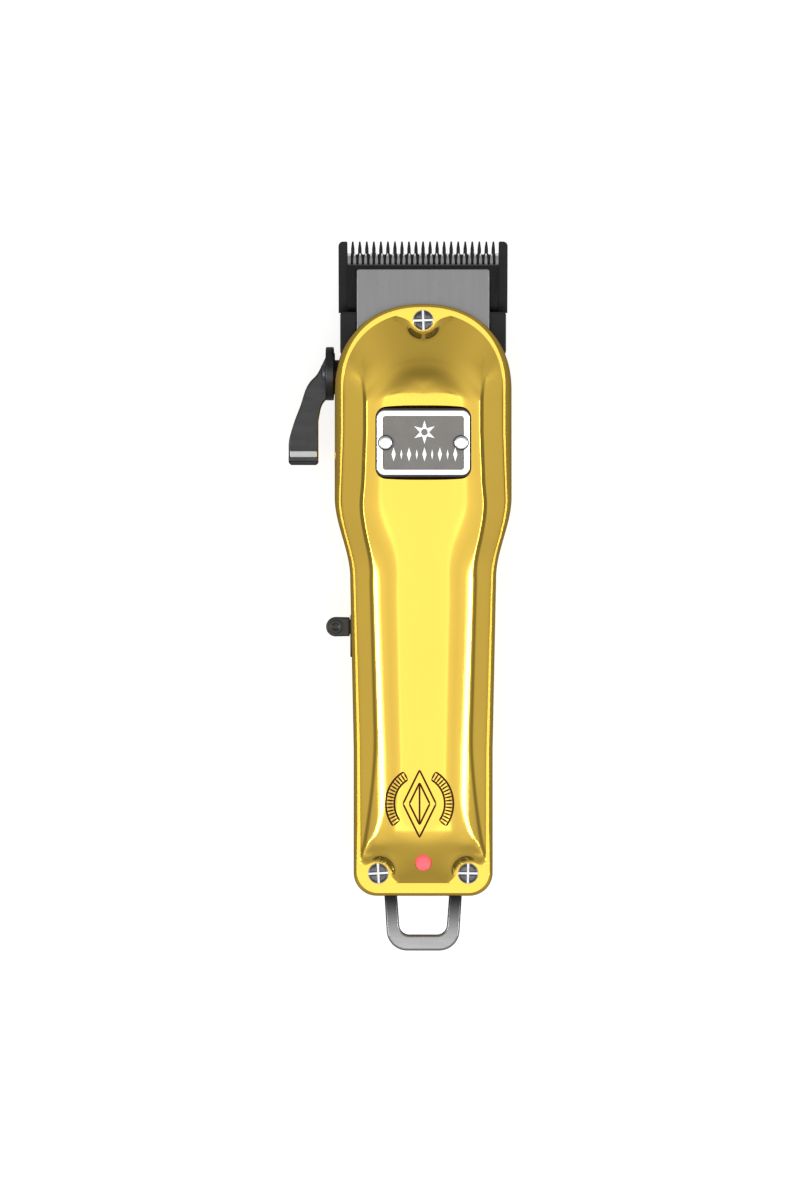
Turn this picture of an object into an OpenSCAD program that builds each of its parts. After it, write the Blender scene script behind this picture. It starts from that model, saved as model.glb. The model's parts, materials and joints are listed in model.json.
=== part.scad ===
// Cordless hair clipper with a metal lid and tub, a taper lever, a slide switch and a hanging hook.
// Lengths are in millimetres. X is across the clipper, +Y points to the blades, +Z points up
// through the lid. The origin is in the middle of the flat rest face on the underside.

/* [Node] */
// Which sub-part to draw, or all of them

/* [Body] */
// Distance from the middle of the body to its front and to its tail
body_half_len = 79.2; // [70:0.1:90]
// Width of the head
head_w = 47.4; // [42:0.1:52]
// Width of the grip where it meets the neck
neck_w = 39.1; // [34:0.1:44]
// Width of the grip at the tail
tail_w = 37.2; // [32:0.1:42]
// Where the neck starts to widen
neck_y0 = 6; // [-5:0.5:15]
// Where the head reaches its full width
neck_y1 = 27.5; // [20:0.5:35]
// Centre of the rounded front
front_mid_y = 56; // [50:0.5:62]
// Squareness of the rounded front, 2 is an ellipse
front_power = 2.2; // [2:0.05:3]
// Radius of the tail corners
tail_corner_r = 6.2; // [4:0.1:9]
// Height of the joint between tub and lid
part_z = 22; // [18:0.1:26]
// Height of the lid's flat flange
flange_z = 25; // [23:0.1:28]
// Thickness of the tub wall
tub_wall = 1.8; // [1.4:0.1:2.5]
// Thickness of the lid side wall
lid_wall = 2.0; // [1.4:0.1:2.5]
// Thickness of the lid roof
lid_roof = 2.4; // [1.5:0.1:3]
// Front end of the tub
tub_front_y = 66.2; // [60:0.1:70]
// Where the underside starts to rise to the blades
belly_y = 40; // [30:0.5:50]
// Rise of the underside at the tub's front end
belly_rise = 9; // [5:0.1:12]

/* [Lid relief] */
// Flange width at the head
flange_head = 2.6; // [1.5:0.1:4]
// Flange width at the neck
flange_neck = 1.2; // [0.8:0.1:3]
// Flange width along the tail sides
flange_tail = 1.7; // [0.8:0.1:3]
// Flange width at the tail end
flange_end = 3.5; // [2:0.1:5]
// Ledge width at the head
ledge_head = 4.6; // [2:0.1:6]
// Ledge width along the grip
ledge_grip = 3.9; // [2:0.1:6]
// Slope of the ledge in degrees
ledge_slope = 38; // [20:1:50]
// Width of the steep band between ledge and crown
band_w = 0.9; // [0.5:0.1:2]
// Slope of the steep band in degrees
band_slope = 62; // [50:1:75]
// Crown height over the flange at the head
crown_head = 7.8; // [5:0.1:10]
// Crown height over the flange along the grip
crown_grip = 7.2; // [5:0.1:10]
// Distance from the head centre to the crest of the front ramp
crest_r = 21.7; // [18:0.1:26]
// Centre of the front crest
crest_y = 40; // [30:0.5:45]
// Slope of the tail ramp in degrees
tail_slope = 24; // [15:1:35]

/* [Badge] */
// Badge width
badge_w = 24.8; // [15:0.1:28]
// Badge height
badge_h = 17.4; // [10:0.1:22]
// Badge corner radius
badge_r = 2.1; // [1:0.1:4]
// Badge centre
badge_y = 41.8; // [35:0.1:50]
// Width of the grey field
field_w = 21.5; // [12:0.1:26]
// Height of the grey field
field_h = 13.9; // [8:0.1:20]
// Distance of each rivet from the middle
rivet_x = 10.05; // [6:0.05:12]

/* [Screws and light] */
// Distance of the tail screws from the middle
tail_screw_x = 12; // [8:0.1:14]
// Position of the tail screws
tail_screw_y = -73.1; // [-76:0.1:-65]
// Position of the front screw
front_screw_y = 74.8; // [70:0.1:77]
// Radius of the lid screws' heads
screw_head_r = 2.8; // [2:0.1:4]
// Position of the charge light
lens_y = -70.1; // [-73:0.1:-60]
// Radius of the charge light
lens_r = 2.15; // [1.5:0.05:3]

/* [Blades] */
// Tilt of the blades, tips upward
blade_tilt = 12; // [0:1:20]
// Tips of the fixed blade
tip_y = 96.3; // [90:0.1:100]
// Height of the fixed blade's tips
tip_z = 19.5; // [15:0.1:22]
// Width of the fixed blade
blade_w = 45.5; // [40:0.1:50]
// Pitch of the fixed blade's teeth
fixed_pitch = 1.89; // [1.5:0.01:2.2]
// Depth of the fixed blade's gaps
fixed_depth = 3.75; // [3:0.05:5]
// Width of the moving blade
cutter_w = 40.5; // [36:0.1:44]
// Pitch of the moving blade's teeth
cutter_pitch = 1.47; // [1.2:0.01:1.9]
// Depth of the moving blade's gaps
cutter_depth = 3.3; // [3:0.05:6]
// Set-back of the moving blade's tips with the lever up
cutter_back = 3.1; // [0.5:0.05:4]
// Half the side-to-side stroke of the moving blade
half_stroke = 1.25; // [0.8:0.05:2]

/* [Taper lever] */
// Lever axis along the body
lever_y = 61; // [56:0.1:64]
// Height of the lever axis
lever_z = 15.5; // [13:0.1:18]
// Radius of the lever's hub
hub_r = 7.2; // [5:0.1:9]
// Travel of the blade for the whole lever swing
taper_travel = 1.5; // [0.8:0.1:2.5]
// Swing of the lever in degrees
lever_swing = 32; // [20:1:45]

/* [Switch] */
// Knob centre with the switch forward
knob_y = -7.2; // [-10:0.1:0]
// Knob travel
knob_travel = 5; // [3:0.1:6]
// Height of the knob's middle
knob_z = 13; // [10:0.1:16]
// Radius of the knob's round end
knob_r = 2.65; // [2:0.05:4]

/* [Motor and cell] */
// Motor case radius
motor_r = 12; // [9:0.1:12.5]
// Motor axis height
motor_z = 16; // [14:0.1:17]
// Motor case length
motor_len = 32.4; // [25:0.1:34]
// Front face of the motor
motor_front_y = 46.4; // [44:0.1:50]
// Cell radius
cell_r = 9.15; // [6:0.05:9.5]
// Cell length
cell_len = 65; // [50:0.1:66]
// Rear end of the cell
cell_y0 = -58; // [-60:0.1:-50]
// Height of the cell's axis
cell_z = 12; // [11:0.1:13]

/* [Hook] */
// Outer half-width of the hook at the body
hook_half_w = 10.4; // [7:0.1:14]
// Width of the hook's bar
hook_bar = 3.4; // [2:0.1:5]
// Outer end of the hook
hook_end_y = -94.1; // [-105:0.1:-88]
// Thickness of the hook
hook_t = 2.4; // [1.5:0.1:3]

/* [Hidden] */
$fn = 48;
eps = 0.02;
half_head = head_w / 2;
half_neck = neck_w / 2;
half_tail = tail_w / 2;
front_len = body_half_len - front_mid_y;
steel = [0.62, 0.62, 0.64];
black = [0.07, 0.07, 0.08];
gold = [0.86, 0.68, 0.22];
cam_shaft_r = 3.7;
cam_pin_r = 0.9;
cam_throw = taper_travel / (2 * sin(lever_swing / 2));
cam_rest = blade_tilt - 90 - lever_swing / 2;
rail_in = 17;
rail_out = 18.8;
leg_in = 14;
leg_out = 16.8;
hub_in_x = -24;
hub_out_x = -26.2;
plate_z = 20.8;
wall_front_y = 48.4;
wheel_y = 49.6;
board_z = 22.4;
board_t = 1.6;
post_x = 12.6;
jack_z = 12;

function clamp01(t) = min(max(t, 0), 1);
function smooth(t) = clamp01(t) * clamp01(t) * (3 - 2 * clamp01(t));
function mix(a, b, t) = a + (b - a) * clamp01(t);
function soft_min(a, b, k) =
    let (h = clamp01(0.5 + 0.5 * (b - a) / k))
    b + (a - b) * h - k * h * (1 - h);

// Half-width of the body's sides, without the rounded ends
function side_half(y) =
    let (grip = mix(half_tail, half_neck, (y + 40) / 46))
    grip + (half_head - grip) * smooth((y - neck_y0) / (neck_y1 - neck_y0));

// Flange width along the sides
function flange_side(y) =
    y < 16
    ? mix(flange_tail, flange_neck, (y + 60) / 76)
    : mix(flange_neck, flange_head, (y - 16) / 29);

// Half of the body outline from the front point to the middle of the tail, moved inward by
// the share f of the flange and by the distance d
side_rows = [56, 50, 43, 36, 29, 25, 21, 17, 13, 9, 5, -3, -13, -23, -33, -43, -51, -58, -64, -69];
function half_outline(f, d) =
    let (
        a = half_head - f * flange_head - d,
        b = front_len - f * flange_head - d,
        e = 2 / front_power,
        r = max(tail_corner_r - f * 2.2 - 0.55 * d, 1),
        tx = half_tail - f * flange_tail - d,
        ty = -body_half_len + f * flange_end + d
    )
    concat(
        [for (t = [0 : 7.5 : 82.5]) [a * pow(sin(t), e), front_mid_y + b * pow(cos(t), e)]],
        [for (y = side_rows) [side_half(y) - f * flange_side(y) - d, y]],
        [for (t = [0 : 18 : 90]) [tx - r + r * cos(t), ty + r - r * sin(t)]],
        [[0, ty]]
    );

// Closes a half ring with its mirror image
function whole_ring(h) = concat(h, [for (i = [len(h) - 2 : -1 : 1]) [-h[i].x, h[i].y, h[i].z]]);

// Distance inside the line where the flange ends
function rim_dist(x, y) =
    y <= front_mid_y
    ? side_half(y) - flange_side(y) - abs(x)
    : let (
        a = half_head - flange_head,
        b = front_len - flange_head,
        q = pow(
            pow(abs(x) / a, front_power) + pow((y - front_mid_y) / b, front_power),
            1 / front_power
        )
    )
    norm([x, y - front_mid_y]) * (1 / max(q, 0.02) - 1);

function ledge_w(y) =
    y > 5
    ? mix(ledge_grip, ledge_head, (y - 5) / 30)
    : mix(0.4, ledge_grip, (y + 67) / 30);

function crown_h(y) = mix(crown_grip, crown_head, y / 40);

// Rise over the flange at a distance e inside its edge: ledge, steep band, then the crown
function side_rise(e, y) =
    let (
        w = ledge_w(y),
        h1 = w * tan(ledge_slope),
        h2 = h1 + band_w * tan(band_slope),
        reach = side_half(y) - flange_side(y) - w - band_w,
        u = clamp01((e - w - band_w) / reach),
        p = mix(2.2, 3, (y - 10) / 25)
    )
    e < w
    ? e * tan(ledge_slope)
    : e < w + band_w
    ? h1 + (e - w) * tan(band_slope)
    : h2 + (crown_h(y) - h2) * (1 - pow(1 - u, p));

// Front ramp between the arched crest and the flange
function front_rise(x, y, e) =
    let (r = norm([1.12 * x, y - crest_y]) - crest_r)
    (y <= crest_y || r <= 0)
    ? crown_h(y) - 0.6 * min(r, 0)
    : crown_h(y) * e / (r + e);

function tail_rise(y) = (y + body_half_len - flange_end) * tan(tail_slope);

function lid_rise(x, y) =
    let (
        e = rim_dist(x, y),
        s = side_rise(e, y),
        f = front_rise(x, y, e),
        t = tail_rise(y),
        m = soft_min(s, f, min(2, 0.5 * min(s, f) + 0.01))
    )
    (e <= 0 || t <= 0) ? 0 : max(0, soft_min(m, t, min(2.5, 0.5 * min(m, t) + 0.01)));

// A point a share t of the way from the flange's edge to the body's centre line
function lid_point(p, t) = [p.x * (1 - t), mix(p.y, min(max(p.y, -60), 58), t)];

// Solid through a stack of equal rings, closed across its first and last ring
module ring_stack(rings) {
    n = len(rings[0]);
    half = n / 2;
    last = (len(rings) - 1) * n;
    sides = [
        for (k = [0 : len(rings) - 2])
            for (i = [0 : n - 1])
                let (j = (i + 1) % n, a = k * n + i, b = k * n + j)
                each [[a, b, b + n], [a, b + n, a + n]]
    ];
    first_cap = [
        [0, n - 1, 1],
        for (i = [1 : half - 3]) each [[i, n - i, n - i - 1], [i, n - i - 1, i + 1]],
        [half - 2, half, half - 1],
        [half - 2, half + 2, half],
        [half + 2, half + 1, half]
    ];
    last_cap = [for (f = first_cap) [last + f[0], last + f[2], last + f[1]]];
    polyhedron([for (r = rings) each r], concat(sides, first_cap, last_cap), convexity = 10);
}

module at_xy(list) {
    for (p = list) translate([p.x, p.y, 0]) children();
}

// Cylinder along Y from y0 to y1
module y_rod(r, y0, y1, x = 0, z = 0) {
    translate([x, y0, z]) rotate([-90, 0, 0]) cylinder(r = r, h = y1 - y0);
}

// Cylinder along X from x0 to x1
module x_rod(r, x0, x1, y = 0, z = 0) {
    translate([x0, y, z]) rotate([0, 90, 0]) cylinder(r = r, h = x1 - x0);
}

module z_rod(r, z0, z1, x = 0, y = 0) {
    translate([x, y, z0]) cylinder(r = r, h = z1 - z0);
}

module block(x0, x1, y0, y1, z0, z1) {
    translate([x0, y0, z0]) cube([x1 - x0, y1 - y0, z1 - z0]);
}

module both_sides() {
    children();
    mirror([1, 0, 0]) children();
}

module rounded_slab(w, h, r, z0, z1) {
    translate([0, 0, z0]) linear_extrude(z1 - z0) rounded_rect(w, h, r);
}

module rounded_rect(w, h, r) {
    square([w - 2 * r, h], center = true);
    square([w, h - 2 * r], center = true);
    for (x = [-1, 1], y = [-1, 1]) translate([x * (w / 2 - r), y * (h / 2 - r)]) circle(r);
}

// Places the blade frame: y runs back from the tips, z = 0 between the two blades
module in_blade_frame() {
    translate([0, tip_y, tip_z]) rotate([blade_tilt, 0, 0]) children();
}

// A pan-head screw, its head's seat at z = 0
module pan_screw(head_r, head_h, shank_r, shank_len) {
    difference() {
        union() {
            intersection() {
                z_rod(head_r, 0, head_h);
                translate([0, 0, head_h - 3 * head_r]) sphere(3 * head_r);
            }
            z_rod(shank_r, -shank_len, 0.1);
        }
        for (t = [0, 90]) rotate([0, 0, t]) block(-0.28 * head_r / 1.4, 0.28 * head_r / 1.4,
            -0.62 * head_r, 0.62 * head_r, head_h * 0.35, head_h + 1);
    }
}

screw_spots = [[0, front_screw_y], [tail_screw_x, tail_screw_y], [-tail_screw_x, tail_screw_y]];
tail_spots = [[tail_screw_x, tail_screw_y], [-tail_screw_x, tail_screw_y]];
post_spots = [[post_x, -62], [-post_x, -62], [post_x, -22], [-post_x, -22]];

// ---------------------------------------------------------------- shells

module lid_shell() {
    rim = half_outline(1, 0);
    inner_rim = half_outline(0, lid_wall);
    inner_z = flange_z - 1.8;
    outer = concat(
        [whole_ring([for (p = half_outline(0, 0)) [p.x, p.y, part_z]])],
        [whole_ring([for (p = half_outline(0, 0)) [p.x, p.y, flange_z - 1.2]])],
        [whole_ring([for (p = half_outline(0, 0.25)) [p.x, p.y, flange_z - 0.4]])],
        [whole_ring([for (p = half_outline(0, 0.8)) [p.x, p.y, flange_z]])],
        [
            for (t = [0, 0.11, 0.222, 0.275, 0.37, 0.52, 0.7, 0.9])
                whole_ring([
                    for (q = rim)
                        let (p = lid_point(q, t))
                        [p.x, p.y, flange_z + (t == 0 ? 0 : lid_rise(p.x, p.y))]
                ])
        ]
    );
    inner = concat(
        [
            for (t = [0.9, 0.66, 0.42, 0.24, 0.1])
                whole_ring([
                    for (q = inner_rim)
                        let (p = lid_point(q, t))
                        [p.x, p.y, max(inner_z, flange_z + lid_rise(p.x, p.y) - lid_roof)]
                ])
        ],
        [whole_ring([for (p = inner_rim) [p.x, p.y, inner_z]])],
        [whole_ring([for (p = inner_rim) [p.x, p.y, part_z]])]
    );
    ring_stack(concat(inner, outer));
}

// Wall that closes a screw lobe where the roof is thin, between y0 and y1 and within half_w
module lobe_wall(spot, r, half_w, y0, y1, top) {
    intersection() {
        translate([spot.x, spot.y, 0]) difference() {
            z_rod(r + 1.3, 23.3, top);
            z_rod(r, 20, top + 1);
        }
        block(-half_w, half_w, y0, y1, 20, 40);
    }
}

module top_cover() {
    color(gold) difference() {
        union() {
            difference() {
                lid_shell();
                at_xy(tail_spots) z_rod(4.6, flange_z, 40);
                at_xy([screw_spots[0]]) z_rod(3.8, flange_z, 40);
            }
            lobe_wall(tail_spots[0], 4.58, 14.3, -70.9, -66, 25.95);
            lobe_wall(tail_spots[1], 4.58, 14.3, -70.9, -66, 25.95);
            lobe_wall(screw_spots[0], 3.78, 6, 68, 73.2, 25.65);
        }
        at_xy(screw_spots) z_rod(1.6, 20, 40);
        at_xy(screw_spots) z_rod(screw_head_r + 0.15, flange_z - 0.6, 40);
        translate([0, badge_y, 0]) rounded_slab(badge_w + 0.5, badge_h + 2.2, 3, 31.3, 40);
        for (x = [-rivet_x, rivet_x]) z_rod(0.85, 20, 40, x, badge_y);
        z_rod(lens_r + 0.03, 20, 40, 0, lens_y);
    }
}

// Height of the underside
function belly_z(y) = y < belly_y
    ? -0.3
    : belly_rise * pow((y - belly_y) / (tub_front_y - belly_y), 1.4) - 0.3;

module tub_shell() {
    outer_steps = [[7.5, 0], [5, 0.035], [3, 0.105], [1.4, 0.22], [0.4, 0.37], [0, 0.54], [0, 1]];
    inner_steps = [[0, 1], [0, 0.52], [0.45, 0.34], [1.6, 0.19], [3.5, 0.07], [6, 0]];
    floor_t = tub_wall + 0.3;
    outer = [
        for (s = outer_steps)
            whole_ring([
                for (p = half_outline(0, s[0]))
                    [p.x, p.y, mix(belly_z(min(p.y, 70)), part_z, s[1])]
            ])
    ];
    inner = [
        for (s = inner_steps)
            whole_ring([
                for (p = half_outline(0, s[0] + tub_wall))
                    [p.x, p.y, mix(belly_z(min(p.y, 70)) + floor_t, part_z, s[1])]
            ])
    ];
    ring_stack(concat(outer, inner));
}

module bottom_housing() {
    color(gold) difference() {
        union() {
            tub_shell();
            at_xy(tail_spots) z_rod(4.1, 5.6, 19.3);
            at_xy(tail_spots) z_rod(2.85, 6, 22.9);
            at_xy(post_spots) z_rod(2.05, 1.5, board_z - 0.05);
            for (x = [-15, 15]) z_rod(2.8, 4.2, 9.75, x, 51.5);
        }
        block(-40, 40, -100, 100, -5, 0);
        block(-40, 40, tub_front_y, 100, -5, 40);
        at_xy(tail_spots) z_rod(1.5, 9, 30);
        at_xy(post_spots) z_rod(0.9, 14, 30);
        for (x = [-15, 15]) z_rod(1.1, 5.6, 12, x, 51.5);
        x_rod(cam_shaft_r + 0.4, -30, -19, lever_y, lever_z);
        y_rod(4.05, -90, -76.5, 0, jack_z);
        both_sides() block(6.8, 10.8, -90, -77, 19.2, 30);
        block(-25, -18.5, knob_y - knob_travel - 3.4, knob_y + 3.4, knob_z - 3, knob_z + 3);
        block(-25, -14, knob_y - knob_travel - 2.5, knob_y + 2.5, knob_z - 1.8, knob_z + 1.8);
    }
}

module cover_screws() {
    color(steel) {
        at_xy(tail_spots) translate([0, 0, flange_z - 0.58]) pan_screw(screw_head_r, 1.5, 1.45, 9);
        translate([0, front_screw_y, flange_z - 0.58]) pan_screw(screw_head_r, 1.5, 1.45, 4.3);
    }
}

module badge_plate() {
    color([0.9, 0.9, 0.92]) translate([0, badge_y, 0]) difference() {
        rounded_slab(badge_w, badge_h, badge_r, 31.32, 32.9);
        rounded_slab(field_w, field_h, 0.6, 32.65, 40);
        for (x = [-rivet_x, rivet_x]) z_rod(0.85, 20, 40, x, 0);
    }
}

module badge_rivets() {
    color([0.95, 0.95, 0.96]) for (x = [-rivet_x, rivet_x]) translate([x, badge_y, 0]) {
        z_rod(0.8, 29.9, 32.95);
        intersection() {
            z_rod(1.5, 32.92, 35);
            translate([0, 0, 31.6]) sphere(2.1);
        }
    }
}

module indicator_lens() {
    color([0.95, 0.4, 0.45]) z_rod(lens_r, 25.2, 27.75, 0, lens_y);
}

// Slab with rounded lower corners, tapering from half-width w0 at y0 to w1 below
module hook_slab(w0, w1, y0, y1, r, z0, z1) {
    translate([0, 0, z0]) linear_extrude(z1 - z0)
        polygon([[-w0, y0], [w0, y0], [w0, -79], [w1, y1 + r], [-w1, y1 + r], [-w0, -79]]);
    block(r - w1, w1 - r, y1, y1 + r + 0.5, z0, z1);
    for (x = [-1, 1]) z_rod(r, z0, z1, x * (w1 - r), y1 + r);
}

module hanging_hook() {
    low_w = hook_half_w - 0.6;
    z0 = 19.35;
    color(steel) difference() {
        union() {
            difference() {
                hook_slab(hook_half_w, low_w, -75.4, hook_end_y, 5.5, z0, z0 + hook_t);
                hook_slab(hook_half_w - hook_bar, low_w - hook_bar, -75, hook_end_y + 4.3, 2.7,
                    z0 - 1, z0 + hook_t + 1);
            }
            both_sides() z_rod(4.05, z0, z0 + hook_t, tail_screw_x, tail_screw_y);
        }
        both_sides() z_rod(2.95, z0 - 1, z0 + 10, tail_screw_x, tail_screw_y);
    }
}

module charging_jack() {
    color(black) {
        difference() {
            union() {
                block(-4.6, 4.6, -75.9, -64.5, jack_z - 4.7, jack_z + 4.7);
                y_rod(4.0, -79.15, -75.8, 0, jack_z);
            }
            y_rod(2.8, -80, -69.5, 0, jack_z);
        }
        y_rod(1.0, -78.3, -69.4, 0, jack_z);
    }
}

// ---------------------------------------------------------------- blades

module comb_gaps(count, pitch, width, depth, tip) {
    for (i = [0 : count - 1]) translate([(i - (count - 1) / 2) * pitch, tip]) {
        translate([-width / 2, -depth]) square([width, depth + 2]);
        translate([0, -depth]) circle(width / 2);
    }
}

module fixed_blade() {
    ear_back = -19.4;
    color(black) in_blade_frame() difference() {
        translate([0, 0, -2.4]) linear_extrude(2.4) difference() {
            union() {
                translate([-blade_w / 2, ear_back]) square([blade_w, -ear_back - 1.2]);
                translate([-blade_w / 2 + 1.2, -3]) square([blade_w - 2.4, 3]);
                for (x = [-1, 1]) translate([x * (blade_w / 2 - 1.2), -1.2]) circle(1.2);
                translate([-17.7, -28]) square([35.4, 12]);
            }
            comb_gaps(22, fixed_pitch, 0.95, fixed_depth, 0);
            for (x = [-10, 10]) translate([x, -25]) circle(1.7);
        }
        translate([0, -4.6, -2.4]) rotate([24, 0, 0]) block(-30, 30, -1, 8, -4, 0);
        translate([0, -15.5, -2.4]) block(-16, 16, -3.2, 3.2, -1, 0.5);
    }
}

module moving_blade() {
    color(black) in_blade_frame() difference() {
        translate([0, 0, 0.04]) linear_extrude(1.76) difference() {
            translate([-cutter_w / 2, -18.6]) square([cutter_w, 18.6 - cutter_back]);
            comb_gaps(27, cutter_pitch, 0.72, cutter_depth - 0.36, -cutter_back);
        }
        translate([0, -cutter_back + 0.3, 0.75]) rotate([-15, 0, 0]) block(-30, 30, -6.2, 2, 0, 4);
        translate([0, -12, 1.8]) block(-17, 17, -2.2, 2.2, -0.5, 1);
    }
}

// The carrier's lug takes the cam pin in an upright slot
module blade_carrier() {
    pin_y = lever_y + cam_throw * cos(cam_rest) - tip_y;
    pin_z = lever_z + cam_throw * sin(cam_rest) - tip_z;
    pin_back = pin_y * cos(blade_tilt) + pin_z * sin(blade_tilt);
    pin_up = pin_z * cos(blade_tilt) - pin_y * sin(blade_tilt);
    color(black) in_blade_frame() difference() {
        union() {
            block(-leg_out, leg_out, -29, -21.5, 0.02, 2.3);
            both_sides() block(leg_in, leg_out, -38.4, -28.9, 0.02, 2.3);
            block(-leg_out, -leg_in, -38.4, -34, -1.6, 2.3);
        }
        block(-leg_out - 1, -leg_in + 1, pin_back - cam_pin_r - 0.06, pin_back + cam_pin_r + 0.06,
            pin_up - cam_pin_r - 0.3, 4);
        for (x = [-10, 10]) z_rod(1.5, -1, 4, x, -25);
        block(-6.5, 6.5, -30, -27.2, -1, 4);
    }
}

module blade_screws() {
    color(steel) in_blade_frame() for (x = [-10, 10])
        translate([x, -25, -2.42]) mirror([0, 0, 1]) pan_screw(2.6, 1.5, 1.42, 4.3);
}

module blade_driver() {
    color([0.12, 0.12, 0.14]) difference() {
        union() {
            in_blade_frame() block(-5, 5, -18.4, -14.5, 1.82, 2.7);
            in_blade_frame() block(-5, 5, -33.4, -14.5, 2.6, 3.7);
            block(-5, 5, 54.6, 64.5, 12.2, 19.4);
        }
        block(-3.65, 3.65, 54, 60.8, 13.5, 18.5);
    }
}

// A bent wire through a list of points
module wire(points, r) {
    for (i = [0 : len(points) - 2]) {
        d = points[i + 1] - points[i];
        translate(points[i]) rotate([0, acos(d.z / norm(d)), atan2(d.y, d.x)])
            cylinder(r = r, h = norm(d));
        if (i > 0) translate(points[i]) sphere(r * 1.06);
    }
}

module blade_spring() {
    x = 8.5;
    color(steel) in_blade_frame() wire([
        [x, -12.9, 2.75], [x, -14.6, 2.36], [x, -17, 2.36], [x, -20, 3.1], [x, -27.5, 3.1],
        [x, -30.3, 5.3], [-x, -30.3, 5.3], [-x, -27.5, 3.1], [-x, -20, 3.1], [-x, -17, 2.36],
        [-x, -14.6, 2.36], [-x, -12.9, 2.75]
    ], 0.5);
}

module blade_cover_plate() {
    half = 17.8;
    color(steel) difference() {
        union() {
            block(-half, half, 58, 88.8, plate_z, plate_z + 0.8);
            both_sides() block(half - 0.8, half, 79, 88.8, plate_z - 0.7, plate_z + 0.1);
        }
        z_rod(3.6, 20, 23, 0, front_screw_y);
        for (x = [-14.5, 14.5]) z_rod(1.25, 20, 23, x, 61.5);
    }
}

module cover_plate_screws() {
    color(steel) for (x = [-14.5, 14.5])
        translate([x, 61.5, plate_z + 0.82]) pan_screw(2.1, 1.1, 1.0, 2.8);
}

module front_chassis() {
    color([0.1, 0.1, 0.11]) difference() {
        union() {
            block(-rail_out, rail_out, motor_front_y + 0.2, wall_front_y, 6.8, 20.75);
            both_sides() {
                block(rail_in, rail_out, wall_front_y - 0.1, 60, 11, 20.75);
                block(rail_in, rail_out, 59.9, 67, 14.2, 20.75);
                x_rod(4.6, rail_in, 18, lever_y, lever_z);
                block(18, 22.2, 66.5, 77.2, 9, 21.7);
                block(12.2, rail_out, wall_front_y - 0.1, 54.5, 9.8, 11.6);
                block(12.2, rail_in + 0.1, 58.8, 64.6, 18.5, 20.75);
                in_blade_frame() block(13.2, 18.1, -30.6, -28.4, -1.3, -0.06);
            }
            block(-22.2, 22.2, 66.5, 68.5, 9, 13);
            block(-18.2, 18.2, 71.8, 77.2, 19.5, 20.75);
            z_rod(3.3, 19.5, 22.7, 0, front_screw_y);
            both_sides() block(7.2, 9.8, 66.4, 72, 19.5, 20.75);
            both_sides() block(7.2, 18.2, 70, 72, 19.5, 20.75);
        }
        y_rod(6, 40, 50, 0, motor_z);
        block(-5, 5, 76.95, 80, 21.8, 24);
        for (x = [-8.5, 8.5]) y_rod(1.15, 40, 50, x, motor_z);
        x_rod(cam_shaft_r + 0.05, -25, -15, lever_y, lever_z);
        z_rod(1.5, 15, 30, 0, front_screw_y);
        for (x = [-14.5, 14.5]) z_rod(1.05, 15, 30, x, 61.5);
        for (x = [-15, 15]) z_rod(1.35, 5, 15, x, 51.5);
        both_sides() translate([22.2, 77.2, 9]) rotate([0, 0, 45]) cube([0.9, 0.9, 40], center = true);
    }
}

module chassis_screws() {
    color(steel) for (x = [-15, 15]) translate([x, 51.5, 11.62]) pan_screw(1.9, 1.1, 1.05, 5.5);
}

// ---------------------------------------------------------------- taper lever

module lever_paddle() {
    polygon([
        [hub_in_x, 66.5], [hub_out_x, 65.5], [-28.4, 61], [-30.3, 58.9], [-31.6, 56.7], [-33, 52.4],
        [-34.6, 48.2], [-35.9, 43.9], [-36.2, 41.7], [-36.2, 36.4], [-28.2, 36.4], [-28.2, 48.2],
        [-27.3, 52.4], [-25.5, 54.6], [hub_in_x, 55.6]
    ]);
}

module taper_lever() {
    color(black) difference() {
        union() {
            x_rod(hub_r, hub_out_x, hub_in_x, lever_y, lever_z);
            translate([0, 0, lever_z - 1.9]) linear_extrude(3.8) lever_paddle();
            block(-36.2, -28.2, 37.6, 39.4, lever_z, lever_z + 2.9);
            intersection() {
                translate([0, 0, lever_z - 5]) linear_extrude(10) lever_paddle();
                x_rod(hub_r, -40, hub_in_x, lever_y, lever_z);
                block(-33, -20, 50, 70, 0, 40);
            }
        }
        x_rod(1.6, -40, -20, lever_y, lever_z);
        x_rod(3.1, -40, hub_out_x - 0.1, lever_y, lever_z);
    }
}

module lever_camshaft() {
    color(steel) difference() {
        union() {
            x_rod(cam_shaft_r, hub_in_x + eps, -17.05, lever_y, lever_z);
            x_rod(cam_pin_r, -17.1, -13.9, lever_y + cam_throw * cos(cam_rest),
                lever_z + cam_throw * sin(cam_rest));
        }
        x_rod(1.5, -30, -18.6, lever_y, lever_z);
    }
}

module lever_screw() {
    color(steel) translate([hub_out_x - 0.12, lever_y, lever_z]) rotate([0, -90, 0])
        pan_screw(2.8, 1.4, 1.45, 7);
}

module lever_washer() {
    color(steel) difference() {
        x_rod(5.6, hub_in_x + 0.05, hub_in_x + 0.25, lever_y, lever_z);
        x_rod(4.2, -30, -20, lever_y, lever_z);
    }
}

// ---------------------------------------------------------------- motor

motor_back_y = motor_front_y - motor_len;
shaft_r = 1.15;

module motor_case() {
    color(steel) difference() {
        union() {
            y_rod(motor_r, motor_back_y, motor_front_y, 0, motor_z);
            y_rod(3.5, motor_front_y - 0.1, motor_front_y + 1.6, 0, motor_z);
        }
        y_rod(motor_r - 1.1, motor_back_y - 1, motor_front_y - 1.6, 0, motor_z);
        y_rod(shaft_r + 0.05, motor_back_y, motor_front_y + 5, 0, motor_z);
        for (x = [-8.5, 8.5]) y_rod(0.95, motor_front_y - 5, motor_front_y + 5, x, motor_z);
    }
}

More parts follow.
